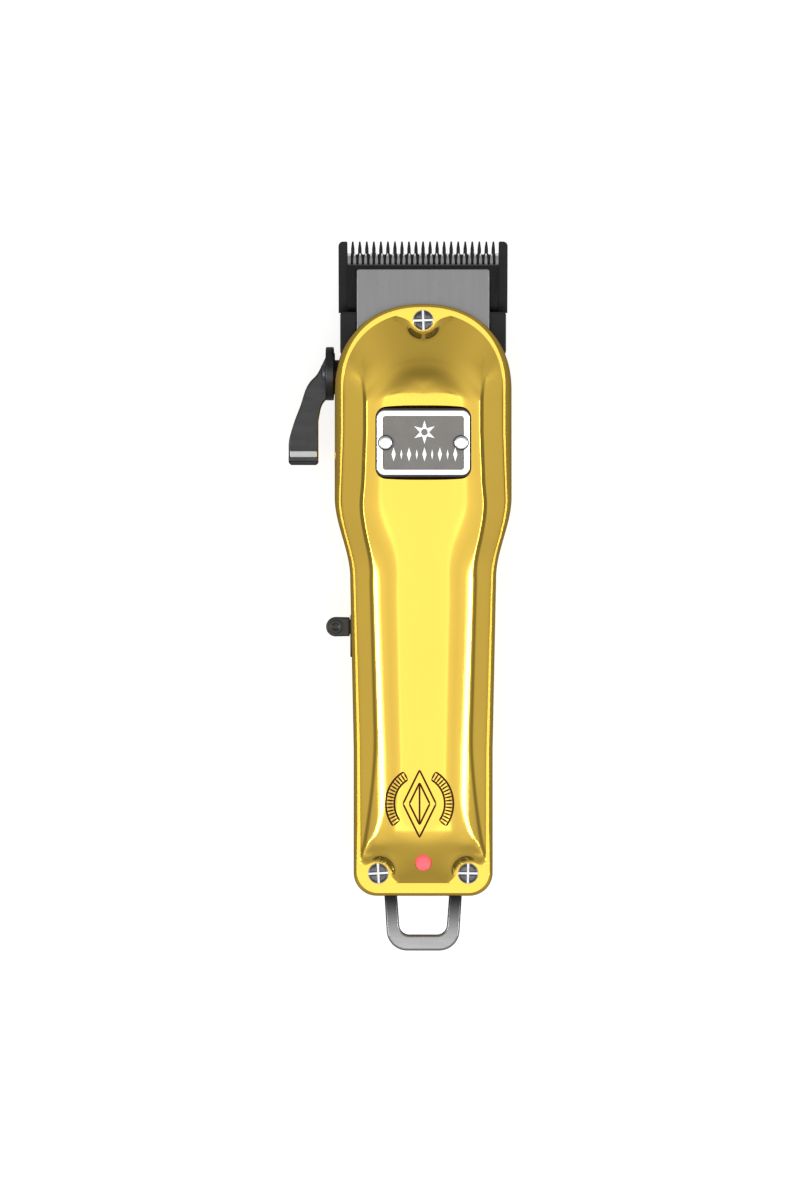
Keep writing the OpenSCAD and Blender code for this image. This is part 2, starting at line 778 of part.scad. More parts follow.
module motor_end_cap() {
    color(black) difference() {
        union() {
            y_rod(motor_r - 1.15, motor_back_y - 1.6, motor_back_y + 1.6, 0, motor_z);
            y_rod(3.2, motor_back_y - 3.4, motor_back_y - 1.5, 0, motor_z);
            for (x = [-6.5, 6.5]) block(x - 1.2, x + 1.2, motor_back_y - 4, motor_back_y - 1.5,
                motor_z - 0.3, motor_z + 0.3);
        }
        y_rod(shaft_r + 0.05, motor_back_y - 2.6, motor_back_y + 5, 0, motor_z);
    }
}

module motor_shaft() {
    color(steel) y_rod(shaft_r, motor_back_y - 2.4, 53, 0, motor_z);
}

module motor_armature() {
    color([0.55, 0.33, 0.2]) difference() {
        union() {
            y_rod(8.6, motor_back_y + 8, motor_front_y - 4, 0, motor_z);
            y_rod(3.4, motor_back_y + 2.4, motor_back_y + 8.1, 0, motor_z);
        }
        y_rod(shaft_r + 0.01, motor_back_y, motor_front_y, 0, motor_z);
    }
}

module eccentric_wheel() {
    color([0.75, 0.75, 0.76]) difference() {
        union() {
            y_rod(5.2, wheel_y + 0.9, 53.6, 0, motor_z);
            y_rod(2.6, wheel_y, 53.6, 0, motor_z);
            y_rod(1.0, 53.5, 60, 0, motor_z + half_stroke);
        }
        y_rod(shaft_r + 0.01, 40, 53.1, 0, motor_z);
        for (x = [-1, 1]) block(min(x * 3.2, x * 8), max(x * 3.2, x * 8), wheel_y + 0.5, 54,
            motor_z, motor_z + 8);
    }
}

module motor_screws() {
    color(steel) for (x = [-8.5, 8.5]) translate([x, wall_front_y + 0.02, motor_z])
        rotate([-90, 0, 0]) pan_screw(1.9, 1.1, 0.9, 5);
}

// ---------------------------------------------------------------- cell and board

module battery_cell() {
    color([0.2, 0.42, 0.62]) {
        y_rod(cell_r, cell_y0, cell_y0 + cell_len - 1, 0, cell_z);
        y_rod(3.2, cell_y0 + cell_len - 1.1, cell_y0 + cell_len, 0, cell_z);
    }
}

module battery_holder() {
    y0 = cell_y0 - 1.9;
    y1 = cell_y0 + cell_len + 1.9;
    color(black) difference() {
        union() {
            block(-10.2, 10.2, y0, y1, 2, 9);
            block(-6, 6, y0, y0 + 1, 2, 19);
            block(-6, 6, y1 - 1, y1, 2, 19);
        }
        y_rod(cell_r + 0.1, y0 + 1, y1 - 1, 0, cell_z);
    }
}

module battery_contacts() {
    color(steel) {
        block(-4, 4, cell_y0 - 0.85, cell_y0 - 0.25, 8, 20.5);
        block(-4, 4, cell_y0 + cell_len + 0.25, cell_y0 + cell_len + 0.85, 8, 20.5);
    }
}

module circuit_board() {
    color([0.05, 0.3, 0.16]) difference() {
        union() {
            block(-13.8, 13.8, -66, -18, board_z, board_z + board_t);
            block(-6, 6, -72.4, -65, board_z, board_z + board_t);
        }
        at_xy(post_spots) z_rod(1.05, 20, 30);
        both_sides() z_rod(4.3, 20, 30, tail_screw_x, tail_screw_y);
    }
}

module board_components() {
    z = board_z + board_t + 0.02;
    color([0.15, 0.15, 0.16]) {
        block(-3, 3, -58, -52, z, z + 1.2);
        block(-2.5, 2.5, -44, -39, z, z + 1.1);
        z_rod(2.6, z, z + 3.2, -6.5, -46);
        z_rod(2.6, z, z + 3.2, 6.5, -34);
        block(5, 9, -55, -51, z, z + 1.8);
        block(-8.5, -4.5, -34, -28, z, z + 1.4);
    }
}

module indicator_led() {
    z = board_z + board_t + 0.02;
    color([0.9, 0.3, 0.3]) z_rod(1.4, z, z + 1, 0, lens_y);
}

module board_screws() {
    color(steel) at_xy(post_spots) translate([0, 0, board_z + board_t + 0.02])
        pan_screw(1.9, 1.1, 0.85, 6);
}

// ---------------------------------------------------------------- switch

module switch_slider() {
    color(black) {
        difference() {
            union() {
                block(-23.5, -19.8, knob_y - knob_r, knob_y + knob_r, knob_z - 2.4, knob_z + 2.4);
                z_rod(knob_r, knob_z - 2.4, knob_z + 2.4, -23.5, knob_y);
                z_rod(1.9, knob_z + 2.3, knob_z + 3.1, -23.5, knob_y);
            }
            z_rod(1.1, knob_z + 2.6, knob_z + 4, -23.5, knob_y);
        }
        block(-19.85, -14.8, knob_y - 2, knob_y + 2, knob_z - 1.5, knob_z + 1.5);
    }
}

module switch_bezel() {
    mid = knob_y - knob_travel / 2;
    color(black) translate([0, mid, knob_z]) difference() {
        block(-19.6, -18.55, -knob_travel / 2 - 3.2, knob_travel / 2 + 3.2, -2.85, 2.85);
        block(-25, -15, -knob_travel / 2 - 2.2, knob_travel / 2 + 2.2, -1.65, 1.65);
    }
}

module switch_body() {
    mid = knob_y - knob_travel / 2;
    color([0.2, 0.2, 0.22]) translate([0, mid, knob_z]) difference() {
        block(-16.9, -11.4, -6.6, 6.6, -3.6, 3.6);
        block(-20, -14.3, -knob_travel / 2 - 2.3, knob_travel / 2 + 2.3, -1.7, 1.7);
    }
}

module motor_wires() {
    color([0.75, 0.12, 0.1]) for (x = [-6.5, 6.5]) wire([
        [x, motor_back_y - 3.2, motor_z + 1.1], [x, motor_back_y - 3.2, 23], [x, -12, 25.6],
        [x, -20, 25.6], [x, -22, 24.7]
    ], 0.6);
}

module battery_wires() {
    color([0.12, 0.12, 0.13]) {
        wire([[0, cell_y0 - 1.2 + 0.2, 21.2], [0, cell_y0 - 2.8, 21.4], [9.5, cell_y0 - 3, 21.4]], 0.5);
        wire([[2, cell_y0 + cell_len + 1.2, 21.3], [9, 4, 22.6], [10.5, -12, 23.4],
            [10.5, -17.2, 23.4]], 0.5);
    }
}

top_cover();
bottom_housing();
cover_screws();
badge_plate();
badge_rivets();
indicator_lens();
hanging_hook();
charging_jack();
fixed_blade();
moving_blade();
blade_carrier();
blade_screws();
blade_driver();
blade_spring();
blade_cover_plate();
cover_plate_screws();
front_chassis();
chassis_screws();
taper_lever();
lever_camshaft();
lever_screw();
lever_washer();
motor_case();
motor_end_cap();
motor_shaft();
motor_armature();
eccentric_wheel();
motor_screws();
battery_cell();
battery_holder();
battery_contacts();
circuit_board();
board_components();
indicator_led();
board_screws();
switch_slider();
switch_bezel();
switch_body();
motor_wires();
battery_wires();
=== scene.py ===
"""Looks of a cordless hair clipper with a gold metal body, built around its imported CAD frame."""
import json
import math

import bmesh
import bpy
import numpy as np
from mathutils import Matrix, Vector
from mathutils.geometry import tessellate_polygon


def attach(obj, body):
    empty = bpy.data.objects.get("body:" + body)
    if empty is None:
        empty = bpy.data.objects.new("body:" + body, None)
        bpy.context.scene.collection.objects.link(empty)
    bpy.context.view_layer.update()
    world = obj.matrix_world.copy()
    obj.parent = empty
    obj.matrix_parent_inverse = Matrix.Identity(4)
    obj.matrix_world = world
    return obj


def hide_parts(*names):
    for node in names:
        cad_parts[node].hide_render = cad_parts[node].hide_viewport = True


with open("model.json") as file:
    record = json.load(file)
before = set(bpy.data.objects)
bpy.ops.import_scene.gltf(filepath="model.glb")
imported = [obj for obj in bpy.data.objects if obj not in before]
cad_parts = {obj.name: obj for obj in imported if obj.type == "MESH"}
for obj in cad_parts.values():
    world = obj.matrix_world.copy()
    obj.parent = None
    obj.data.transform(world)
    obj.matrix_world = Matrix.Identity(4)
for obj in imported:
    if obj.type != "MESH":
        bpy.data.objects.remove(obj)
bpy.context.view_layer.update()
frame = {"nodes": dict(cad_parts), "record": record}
NODES = frame["nodes"]
BODY_OF = {n: b for b, ns in frame["record"]["behaviour"]["bodies"].items() for n in ns}
SLOT_OF = {s["node"]: s["material_slot"] for s in frame["record"]["subparts"]}
MM = 0.001

# ---- driving sizes in millimetres, from the CAD source, with a finer lid

SPLIT_Z = 22.0  # the lid meets the tub
FLANGE_Z = 25.0  # flat top of the lid's edge
HEAD_Y = 56.0  # middle of the rounded head
HEAD_W, HEAD_L = 23.7, 23.2  # half width of the head, and its reach in front of HEAD_Y
HEAD_POWER = 2.2  # the head's outline is a superellipse of this power
HEAD_FLANGE = 2.25  # width of the flange round the head
GRIP_W = 19.55  # half width of the grip
TAIL_W, TAIL_Y = 18.6, -79.2  # half width of the tail, and its end
TAIL_R = 6.2  # radius of the tail's corners
STRAIGHT_Y, TAIL_ROWS = -60, 9  # where the long sides end, and how far their last rows run behind it
TAIL_FOOT_Y = -75.8  # where the lid's slope starts at the tail
LEDGE_SLOPE = math.tan(math.radians(38))
FOOT_STEP = 0.15  # small steep step at the ledge's foot
BAND_W = 0.9  # width of the steep band between the ledge and the crown
LID_WALL, TUB_WALL = 2.0, 1.8
ROOF = 2.4  # thickness of the lid's roof

SCREW_HEAD_Y = 74.8
SCREW_TAIL_X, SCREW_TAIL_Y = 12.0, -73.1
SCREWS = [(0.0, SCREW_HEAD_Y), (SCREW_TAIL_X, SCREW_TAIL_Y), (-SCREW_TAIL_X, SCREW_TAIL_Y)]
SCREW_Z = 24.42  # seat of the lid screws' heads
BADGE_Y = 41.8
RIVET_X = 10.05
LIGHT_Y = -70.1
SOCKET_Z = 12
LEVER_Y, LEVER_Z = 61, 15.5  # axis of the taper lever
SWITCH_X, SWITCH_Y = -23.5, -7.2
TIP_Y, TIP_Z = 96.3, 19.5  # tips of the fixed blade's teeth, on its upper face
BLADE_TILT = math.radians(12)

# ---- materials


def feed(tree, socket, value):
    """Links an output to a socket, or sets the socket's own value."""
    if isinstance(value, bpy.types.NodeSocket):
        tree.links.new(value, socket)
    else:
        socket.default_value = value


def add_node(tree, kind, inputs=(), **settings):
    """New shader node with its settings, and its inputs fed from a dictionary."""
    node = tree.nodes.new("ShaderNode" + kind)
    for key, value in settings.items():
        setattr(node, key, value)
    for key, value in dict(inputs).items():
        feed(tree, node.inputs[key], value)
    return node


def blended(tree, factor, first, second):
    """Colour that goes from first to second as factor goes from 0 to 1."""
    node = add_node(tree, "Mix", {"Factor": factor, "A": first, "B": second}, data_type="RGBA")
    return node.outputs["Result"]


def shader(name, color, metallic=0.0, rough=(0.4, 0.5), vary=0.06, scale=40.0, stretch=(1, 1, 1),
           bump=0.05, bump_scale=900.0, **sockets):
    """Principled material: one noise moves its colour and roughness a little, and a finer one bumps it."""
    mat = bpy.data.materials.new(name)
    mat.use_nodes = True
    tree = mat.node_tree
    tree.nodes.clear()
    coord = add_node(tree, "TexCoord")
    place = add_node(tree, "Mapping", {"Vector": coord.outputs["Object"], "Scale": stretch})
    cloud = add_node(tree, "TexNoise", {"Vector": place.outputs[0], "Scale": scale, "Detail": 4})
    ramp = add_node(tree, "ValToRGB", {0: cloud.outputs["Fac"]})
    for stop, position, factor in zip(ramp.color_ramp.elements, (0.3, 0.7), (1 - vary, 1 + vary)):
        stop.position = position
        stop.color = (*[min(1.0, max(0.0, c * factor)) for c in color], 1)
    limits = {"To Min": rough[0], "To Max": rough[1]}
    spread = add_node(tree, "MapRange", {"Value": cloud.outputs["Fac"], **limits})
    grain = add_node(tree, "TexNoise", {"Vector": place.outputs[0], "Scale": bump_scale, "Detail": 3})
    bumps = add_node(tree, "Bump", {"Height": grain.outputs["Fac"], "Strength": bump, "Distance": 0.0002})
    bsdf = add_node(tree, "BsdfPrincipled", {"Base Color": ramp.outputs[0], "Roughness": spread.outputs[0],
                                             "Normal": bumps.outputs[0], "Metallic": metallic})
    for key, value in sockets.items():
        feed(tree, bsdf.inputs[key.replace("_", " ")], value)
    add_node(tree, "OutputMaterial", {0: bsdf.outputs[0]})
    return mat


def fade_along_y(mat, tone, y_start, y_end):
    """Turns a material's colour into tone between two places, in millimetres."""
    tree = mat.node_tree
    bsdf = next(n for n in tree.nodes if n.type == "BSDF_PRINCIPLED")
    coord = next(n for n in tree.nodes if n.type == "TEX_COORD")
    color = bsdf.inputs["Base Color"].links[0].from_socket
    split = add_node(tree, "SeparateXYZ", {0: coord.outputs["Object"]})
    inputs = {"Value": split.outputs["Y"], "From Min": y_start * MM, "From Max": y_end * MM}
    span = add_node(tree, "MapRange", inputs, interpolation_type="SMOOTHSTEP")
    feed(tree, bsdf.inputs["Base Color"], blended(tree, span.outputs[0], color, (*tone, 1)))


GOLD = (1.0, 0.66, 0.105)
MATS = {
    "gold_metal": shader("gold_plating", GOLD, 1.0, (0.1, 0.15), 0.02, 30, bump=0.01, bump_scale=260),
    "screw_steel": shader("chrome_screws", (0.74, 0.74, 0.77), 1.0, (0.1, 0.2), 0.05, 500, bump=0.05),
    "badge_metal": shader("satin_silver", (0.93, 0.93, 0.94), 1.0, (0.09, 0.16), 0.03, 300, (1, 6, 1), 0.03),
    "red_lens": shader("red_light_cap", (0.95, 0.10, 0.13), 0.0, (0.2, 0.3), 0.06, 400, bump=0.02,
                       Emission_Color=(1.0, 0.12, 0.15, 1), Emission_Strength=0.45),
    "hook_steel": shader("hook_steel", (0.4, 0.4, 0.405), 1.0, (0.2, 0.32), 0.06, 120, (1, 8, 1), 0.08),
    "black_plastic": shader("black_plastic", (0.012, 0.012, 0.013), 0.0, (0.38, 0.52), 0.25, 220,
                            bump=0.25, bump_scale=2600, Specular_IOR_Level=0.22),
    "black_steel": shader("black_coated_steel", (0.009, 0.009, 0.01), 0.0, (0.26, 0.4), 0.25, 160,
                          (1, 5, 1), 0.1, 1200, Specular_IOR_Level=0.2),
    "plate_steel": shader("satin_plate", (0.27, 0.27, 0.275), 1.0, (0.36, 0.46), 0.05, 90,
                          (6, 0.7, 1), 0.12, 700),
    "spring_steel": shader("plain_steel", (0.55, 0.55, 0.57), 1.0, (0.3, 0.45), 0.08, 200),
    "coil_core": shader("lacquered_core", (0.45, 0.2, 0.09), 0.7, (0.35, 0.5), 0.2, 300, (1, 0.1, 1)),
    "wheel_metal": shader("turned_brass", (0.72, 0.52, 0.24), 1.0, (0.25, 0.4), 0.08, 300),
    "cell_wrap": shader("cell_wrap", (0.03, 0.12, 0.33), 0.0, (0.25, 0.35), 0.1, 60),
    "board_green": shader("solder_mask", (0.01, 0.12, 0.045), 0.0, (0.3, 0.4), 0.25, 500),
    "chip_black": shader("moulded_chips", (0.02, 0.02, 0.022), 0.0, (0.4, 0.6), 0.2, 900),
    "wire_skin": shader("wire_skin", (0.4, 0.02, 0.015), 0.0, (0.35, 0.5), 0.15, 300),
}
FIELD = shader("badge_field", (0.215, 0.205, 0.19), 0.0, (0.45, 0.6), 0.07, 260, (1, 1, 1), 0.1, 1500)
INK = shader("engraving_dark", (0.05, 0.013, 0.002), 0.0, (0.5, 0.65), 0.2, 900, bump=0.1,
             Specular_IOR_Level=0.1)
LEVER = shader("lever_black", (0.06, 0.06, 0.062), 1.0, (0.25, 0.36), 0.15, 120, (1, 3, 1), 0.12, 2600)
KNOB = shader("knob_black", (0.02, 0.02, 0.022), 0.0, (0.2, 0.32), 0.25, 300, bump=0.1, bump_scale=2600)
# painted highlight: light grey metal for the ridge on the black lever's lip, where the lip catches the light
RIDGE_HIGHLIGHT = shader("lever_ridge_painted_highlight", (0.48, 0.48, 0.48), 1.0, (0.24, 0.34), 0.1, 200, (1, 6, 1), 0.08)
GROUND = shader("ground_cutter", (0.016, 0.016, 0.017), 1.0, (0.25, 0.36), 0.2, 200, (8, 1, 1), 0.1, 1500)
# painted shade: a darker copy of the screws' chrome, for the domed quarters of the lid screws and for the
# lever's screw
SHADED_CHROME = shader("chrome_with_painted_shade", (0.13, 0.135, 0.14), 1.0, (0.08, 0.2), 0.25, 600, bump=0.04)
CROSS = shader("screw_cross", (0.72, 0.72, 0.74), 1.0, (0.12, 0.22), 0.08, 500, bump=0.05)

# the cutter's ground face is brighter towards its edge; the hook's colour goes black beside the body, painted
# shade where the body shades it
fade_along_y(GROUND, (0.26, 0.26, 0.265), 89.7, 90.8)
fade_along_y(GROUND, (0.9, 0.9, 0.9), 92.2, 93.1)
# painted shade: the hook's steel turns black towards the body
fade_along_y(MATS["hook_steel"], (0.014, 0.014, 0.015), -93.5, -79)

# painted shade: the lever's camshaft and washer get black steel in place of their own material, so the gap
# they sit in reads dark
NODES_IN_PAINTED_SHADE = ("lever_camshaft", "lever_washer")
for node_name, cad_object in NODES.items():
    cad_object.data.materials.clear()
    cad_object.data.materials.append(MATS["black_steel" if node_name in NODES_IN_PAINTED_SHADE else SLOT_OF[node_name]])

# ---- mesh helpers; a part is (points, faces)


def mesh_object(name, part):
    """New object from a part in millimetres."""
    verts, faces = part
    mesh = bpy.data.meshes.new(name)
    mesh.from_pydata((np.asarray(verts, float) * MM).tolist(), [], [tuple(int(i) for i in f) for f in faces])
    obj = bpy.data.objects.new(name, mesh)
    bpy.context.scene.collection.objects.link(obj)
    return obj


def normals_out(mesh):
    """Points the faces of a closed mesh outwards."""
    bm = bmesh.new()
    bm.from_mesh(mesh)
    bmesh.ops.recalc_face_normals(bm, faces=bm.faces)
    bm.to_mesh(mesh)
    bm.free()


def smooth_shading(obj, angle):
    """Smooths all edges but those sharper than angle, in degrees."""
    obj.data.polygons.foreach_set("use_smooth", [True] * len(obj.data.polygons))
    obj.data.set_sharp_from_angle(angle=math.radians(angle))
    obj.data.update()


def piece(name, part, node, mat=None, angle=35, stands_for=True):
    """Closed piece that rides with a CAD node's body, and replaces the node where it stands for it."""
    obj = mesh_object(name, part)
    obj.data.materials.append(mat or MATS[SLOT_OF[node]])
    normals_out(obj.data)
    smooth_shading(obj, angle)
    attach(obj, BODY_OF[node])
    if stands_for:
        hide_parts(node)
    return obj


def cut(obj, *parts, angle=35):
    """Takes the given parts out of obj."""
    tool = mesh_object("cutting_tool", merged(*parts))
    normals_out(tool.data)
    mod = obj.modifiers.new("cut", "BOOLEAN")
    mod.operation, mod.solver, mod.object = "DIFFERENCE", "EXACT", tool
    view = bpy.context.evaluated_depsgraph_get()
    result = bpy.data.meshes.new_from_object(obj.evaluated_get(view))
    obj.modifiers.clear()
    before, obj.data = obj.data, result
    tool_mesh = tool.data
    bpy.data.objects.remove(tool)
    for mesh in (before, tool_mesh):
        bpy.data.meshes.remove(mesh)
    smooth_shading(obj, angle)


def merged(*parts):
    """One part from several."""
    verts, faces, base = [], [], 0
    for v, f in parts:
        verts.append(np.asarray(v, float))
        faces += [tuple(i + base for i in face) for face in f]
        base += len(v)
    return np.concatenate(verts), faces


def moved(part, matrix):
    v, f = part
    m = np.array(matrix, float)
    return np.asarray(v, float) @ m[:3, :3].T + m[:3, 3], f


def put(part, x, y, z, turn=Matrix.Identity(4)):
    """Turns a part about the origin, then moves the origin to a place."""
    return moved(part, Matrix.Translation((x, y, z)) @ turn)


def along_x(part, y=0.0, z=0.0):
    """Turns a part built about Z so that its axis is X, at the given y and z."""
    v, f = part
    return np.column_stack([v[:, 2], v[:, 0] + y, v[:, 1] + z]), f


def along_y(part, x=0.0, z=0.0):
    """Turns a part built about Z so that its axis is Y, at the given x and z."""
    v, f = part
    return np.column_stack([v[:, 0] + x, v[:, 2], v[:, 1] + z]), f


def offset(loop, d):
    """Moves a closed 2D loop to its left by d, keeping the distance at its corners."""
    p = np.asarray(loop, float)
    a, b = p - np.roll(p, 1, 0), np.roll(p, -1, 0) - p
    a /= np.linalg.norm(a, axis=1)[:, None]
    b /= np.linalg.norm(b, axis=1)[:, None]
    na, nb = np.stack([-a[:, 1], a[:, 0]], 1), np.stack([-b[:, 1], b[:, 0]], 1)
    n = na + nb
    n /= np.linalg.norm(n, axis=1)[:, None]
    return p + n * (d / np.maximum((n * na).sum(1), 0.45))[:, None]


def area(loop):
    x, y = np.asarray(loop, float).T
    return 0.5 * float(np.sum(x * np.roll(y, -1) - np.roll(x, -1) * y))


HOLD = 0.05  # an extra loop this far inside a rounded rim keeps the flat face beside it shaded flat


def rim_steps(z0, z1, b, segs):
    """(inset, height) steps up the side of a prism whose rims are rounded by b."""
    if b == 0:
        return [(0, z0), (0, z1)]
    angles = [math.pi / 2 * k / segs for k in range(segs + 1)]
    bends = [(b * (1 - math.sin(a)), b * (1 - math.cos(a))) for a in angles]
    steps = [(inset, z0 + up) for inset, up in bends] + [(inset, z1 - up) for inset, up in bends[::-1]]
    if b >= 0.2:
        steps = [(b + HOLD, z0)] + steps + [(b + HOLD, z1)]
    return steps


def prism(outer, z0, z1, b=0.2, holes=(), segs=3):
    """Solid between z0 and z1 with rims rounded by b, from a 2D outline and its holes."""
    loops = [np.asarray(outer, float)[:: 1 if area(outer) > 0 else -1]]
    loops += [np.asarray(h, float)[:: 1 if area(h) < 0 else -1] for h in holes]
    steps = rim_steps(z0, z1, b, segs)
    verts, faces, caps = [], [], [[], []]
    for loop in loops:
        n = len(loop)
        start = len(verts)
        for d, z in steps:
            verts += [(x, y, z) for x, y in (offset(loop, d) if d else loop)]
        for k in range(len(steps) - 1):
            r0, r1 = start + k * n, start + (k + 1) * n
            faces += [(r0 + i, r0 + (i + 1) % n, r1 + (i + 1) % n, r1 + i) for i in range(n)]
        for side, k in enumerate((0, len(steps) - 1)):
            caps[side].append([start + k * n + i for i in range(n)])
    for side, cap in enumerate(caps):
        index = [i for loop in cap for i in loop]
        flat = [[Vector((verts[i][0], verts[i][1], 0)) for i in loop] for loop in cap]
        for t in tessellate_polygon(flat):
            faces.append(tuple(index[i] for i in (t if side else t[::-1])))
    return np.array(verts), faces


def frustum(lower, upper, z0, z1):
    """Solid between two outlines with the same number of points."""
    n = len(lower)
    verts = [(x, y, z0) for x, y in lower] + [(x, y, z1) for x, y in upper]
    faces = [(i, (i + 1) % n, n + (i + 1) % n, n + i) for i in range(n)]
    faces += [tuple(range(n))[::-1], tuple(range(n, 2 * n))]
    return np.array(verts), faces


def revolve(profile, n=48):
    """Solid of revolution about Z from (radius, height) points; the first and last are on the axis."""
    verts, faces = [(0, 0, profile[0][1])], []
    for r, z in profile[1:-1]:
        verts += [(x, y, z) for x, y in circle(r, n)]
    verts.append((0, 0, profile[-1][1]))
    rings = len(profile) - 2
    last_ring = 1 + (rings - 1) * n
    for i in range(n):
        j = (i + 1) % n
        faces.append((0, 1 + j, 1 + i))
        for a in range(1, last_ring, n):
            faces.append((a + i, a + j, a + n + j, a + n + i))
        faces.append((last_ring + i, last_ring + j, len(verts) - 1))
    return np.array(verts, float), faces


def circle(r, n=32, cx=0.0, cy=0.0):
    turns = [2 * math.pi * i / n for i in range(n)]
    return [(cx + r * math.cos(a), cy + r * math.sin(a)) for a in turns]


def corner(cx, cy, r, start, n, sweep=90):
    """Round corner of a 2D outline: n steps from the angle start, in degrees."""
    turns = [math.radians(start + sweep * k / n) for k in range(n + 1)]
    return [(cx + r * math.cos(a), cy + r * math.sin(a)) for a in turns]


def rounded_rect(w, h, r, cx=0.0, cy=0.0, n=8):
    points = []
    for sx, sy, start in ((1, 1, 0), (-1, 1, 90), (-1, -1, 180), (1, -1, 270)):
        points += corner(cx + sx * (w / 2 - r), cy + sy * (h / 2 - r), r, start, n)
    return points


def box_mm(x0, x1, y0, y1, z0, z1):
    return prism([(x0, y0), (x1, y0), (x1, y1), (x0, y1)], z0, z1, 0)


def catmull_rom(a, b, c, d, t):
    """Point between b and c on a smooth curve through a, b, c and d."""
    square, cube = 2 * a - 5 * b + 4 * c - d, 3 * b - a - 3 * c + d
    return 0.5 * (2 * b + (c - a) * t + square * t * t + cube * t ** 3)


def smooth_line(points, step=0.5, count=None):
    """Open curve through 2D points, with steps of about one length, or count steps from point to point."""
    p = np.asarray(points, float)
    line = []
    for i in range(len(p) - 1):
        a, b, c, d = p[max(i - 1, 0)], p[i], p[i + 1], p[min(i + 2, len(p) - 1)]
        n = count or max(1, int(np.linalg.norm(c - b) / step))
        line += [catmull_rom(a, b, c, d, k / n) for k in range(n)]
    return np.array(line + [p[-1]])


# ---- the body's shape: the CAD source's outline, and a lid whose slope is finer than the CAD's


def clamp01(t):
    return np.clip(t, 0.0, 1.0)


def smooth(t):
    t = clamp01(t)
    return t * t * (3 - 2 * t)


def mix(a, b, t):
    return a + (b - a) * clamp01(t)


def soft_min(a, b, k):
    """The smaller of a and b, blended where they differ by less than k."""
    h = clamp01(0.5 + 0.5 * (b - a) / k)
    return b + (a - b) * h - k * h * (1 - h)


def side_half(y):
    """Half width of the body along its grip and head."""
    grip = mix(TAIL_W, GRIP_W, (y + 40) / 46)
    return grip + (HEAD_W - grip) * smooth((y - 6) / 21.5)


def flange_side(y):
    """Width of the flange beside the lid's slope."""
    return np.where(y < 16, mix(1.7, 1.2, (y + 60) / 76), mix(1.2, HEAD_FLANGE, (y - 16) / 29))


def tail_corner(f, d):
    """Half width, end and radius of the tail's outline, f of the way across the flange and d further in."""
    radius = np.maximum(TAIL_R - f * 2.2 - 0.55 * d, 1)
    return TAIL_W - f * 1.7 - d, TAIL_Y + f * 3.5 + d, radius


# where the points of the outline are: round the head, down the side, round the tail's corner, along its end
HEAD_T = np.concatenate([np.linspace(0, 20, 34)[:-1], np.linspace(20, 90, 64)[:-1]])
SIDE_Y = np.concatenate([np.linspace(HEAD_Y, 30, 34)[:-1], np.linspace(30, STRAIGHT_Y, 110)[:-1],
                         np.linspace(STRAIGHT_Y, STRAIGHT_Y - TAIL_ROWS, 20)])
CORNER_T = np.linspace(0, 90, 16)[1:]
END_X = np.linspace(1, 0, 30)[1:]


def half_outline(f, d):
    """Half of the outline, from the front point to the middle of the tail.

    f is 0 on the outside and 1 where the flange meets the lid's slope; d is the distance further in.
    Both may vary along the outline.
    """
    n = len(HEAD_T) + len(SIDE_Y) + len(CORNER_T) + len(END_X)
    f, d = np.broadcast_to(f, n).astype(float), np.broadcast_to(d, n).astype(float)
    i0, i1, i2 = np.cumsum([len(HEAD_T), len(SIDE_Y), len(CORNER_T)])

    t, power = np.radians(HEAD_T), 2 / HEAD_POWER
    inset = f[:i0] * HEAD_FLANGE
    head_w, head_l = HEAD_W - inset - d[:i0], HEAD_L - inset - d[:i0]
    head = np.stack([head_w * np.sin(t) ** power, HEAD_Y + head_l * np.cos(t) ** power], 1)

    def side_x(y, rows=slice(None)):
        return side_half(y) - f[i0:i1][rows] * flange_side(y) - d[i0:i1][rows]

    side = np.stack([side_x(SIDE_Y), SIDE_Y], 1)
    t = np.radians(CORNER_T)
    x, y, r = tail_corner(f[i1:i2], d[i1:i2])
    tail = np.stack([x - r + r * np.cos(t), y + r - r * np.sin(t)], 1)
    x, y, r = tail_corner(f[i2:], d[i2:])
    end = np.stack([(x - r) * END_X, y], 1)

    # the last rows of the side join the corner, whose start moves with its radius
    side_end = tail[0, 1] + 0.35
    low = side[:, 1] < STRAIGHT_Y
    side[low, 1] = STRAIGHT_Y - (side[low, 1] - STRAIGHT_Y) / TAIL_ROWS * (side_end - STRAIGHT_Y)
    side[low, 0] = side_x(side[low, 1], low)
    return np.concatenate([head, side, tail, end])


def rim_dist(x, y):
    """Distance inwards from the line where the flange meets the lid's slope."""
    ahead = np.maximum(y - HEAD_Y, 0)
    share_x, share_y = np.abs(x) / (HEAD_W - HEAD_FLANGE), ahead / (HEAD_L - HEAD_FLANGE)
    q = np.maximum((share_x ** HEAD_POWER + share_y ** HEAD_POWER) ** (1 / HEAD_POWER), 0.02)
    front = np.hypot(x, ahead) * (1 / q - 1)
    return np.where(y <= HEAD_Y, side_half(y) - flange_side(y) - np.abs(x), front)


def ledge_w(y):
    """Width of the gently sloping ledge inside the rim."""
    grip = 0.4 + 3.5 * (1 - (1 - clamp01((y + 67) / 32)) ** 1.7)
    return np.where(y > 5, mix(3.9, 5.45, (y - 5) / 26), grip) - 3.4 * smooth((y - 52) / 24)


def crown_h(y):
    """Height of the crown above the flange."""
    return mix(7.2, 7.8, y / 40)


def side_rise_raw(e, y):
    """Height at a distance e from the rim: ledge, steep band, crown."""
    w = ledge_w(y)
    h1 = w * LEDGE_SLOPE + FOOT_STEP
    steep = np.tan(np.radians(mix(50, 58, (y - 8) / 16)))
    h2 = h1 + BAND_W * steep
    reach = side_half(y) - flange_side(y) - w - BAND_W
    u = clamp01((e - w - BAND_W) / reach)
    power = mix(2.7, 3, (y - 10) / 25) - 0.6 * np.exp(-((y - 17) / 7) ** 2)
    low = np.maximum(e, 0) * LEDGE_SLOPE + FOOT_STEP * clamp01(e / 0.3)
    band = h1 + (e - w) * steep
    crown = h2 + (crown_h(y) - h2) * (1 - (1 - u) ** power)
    return np.where(e < w, low, np.where(e < w + BAND_W, band, crown))


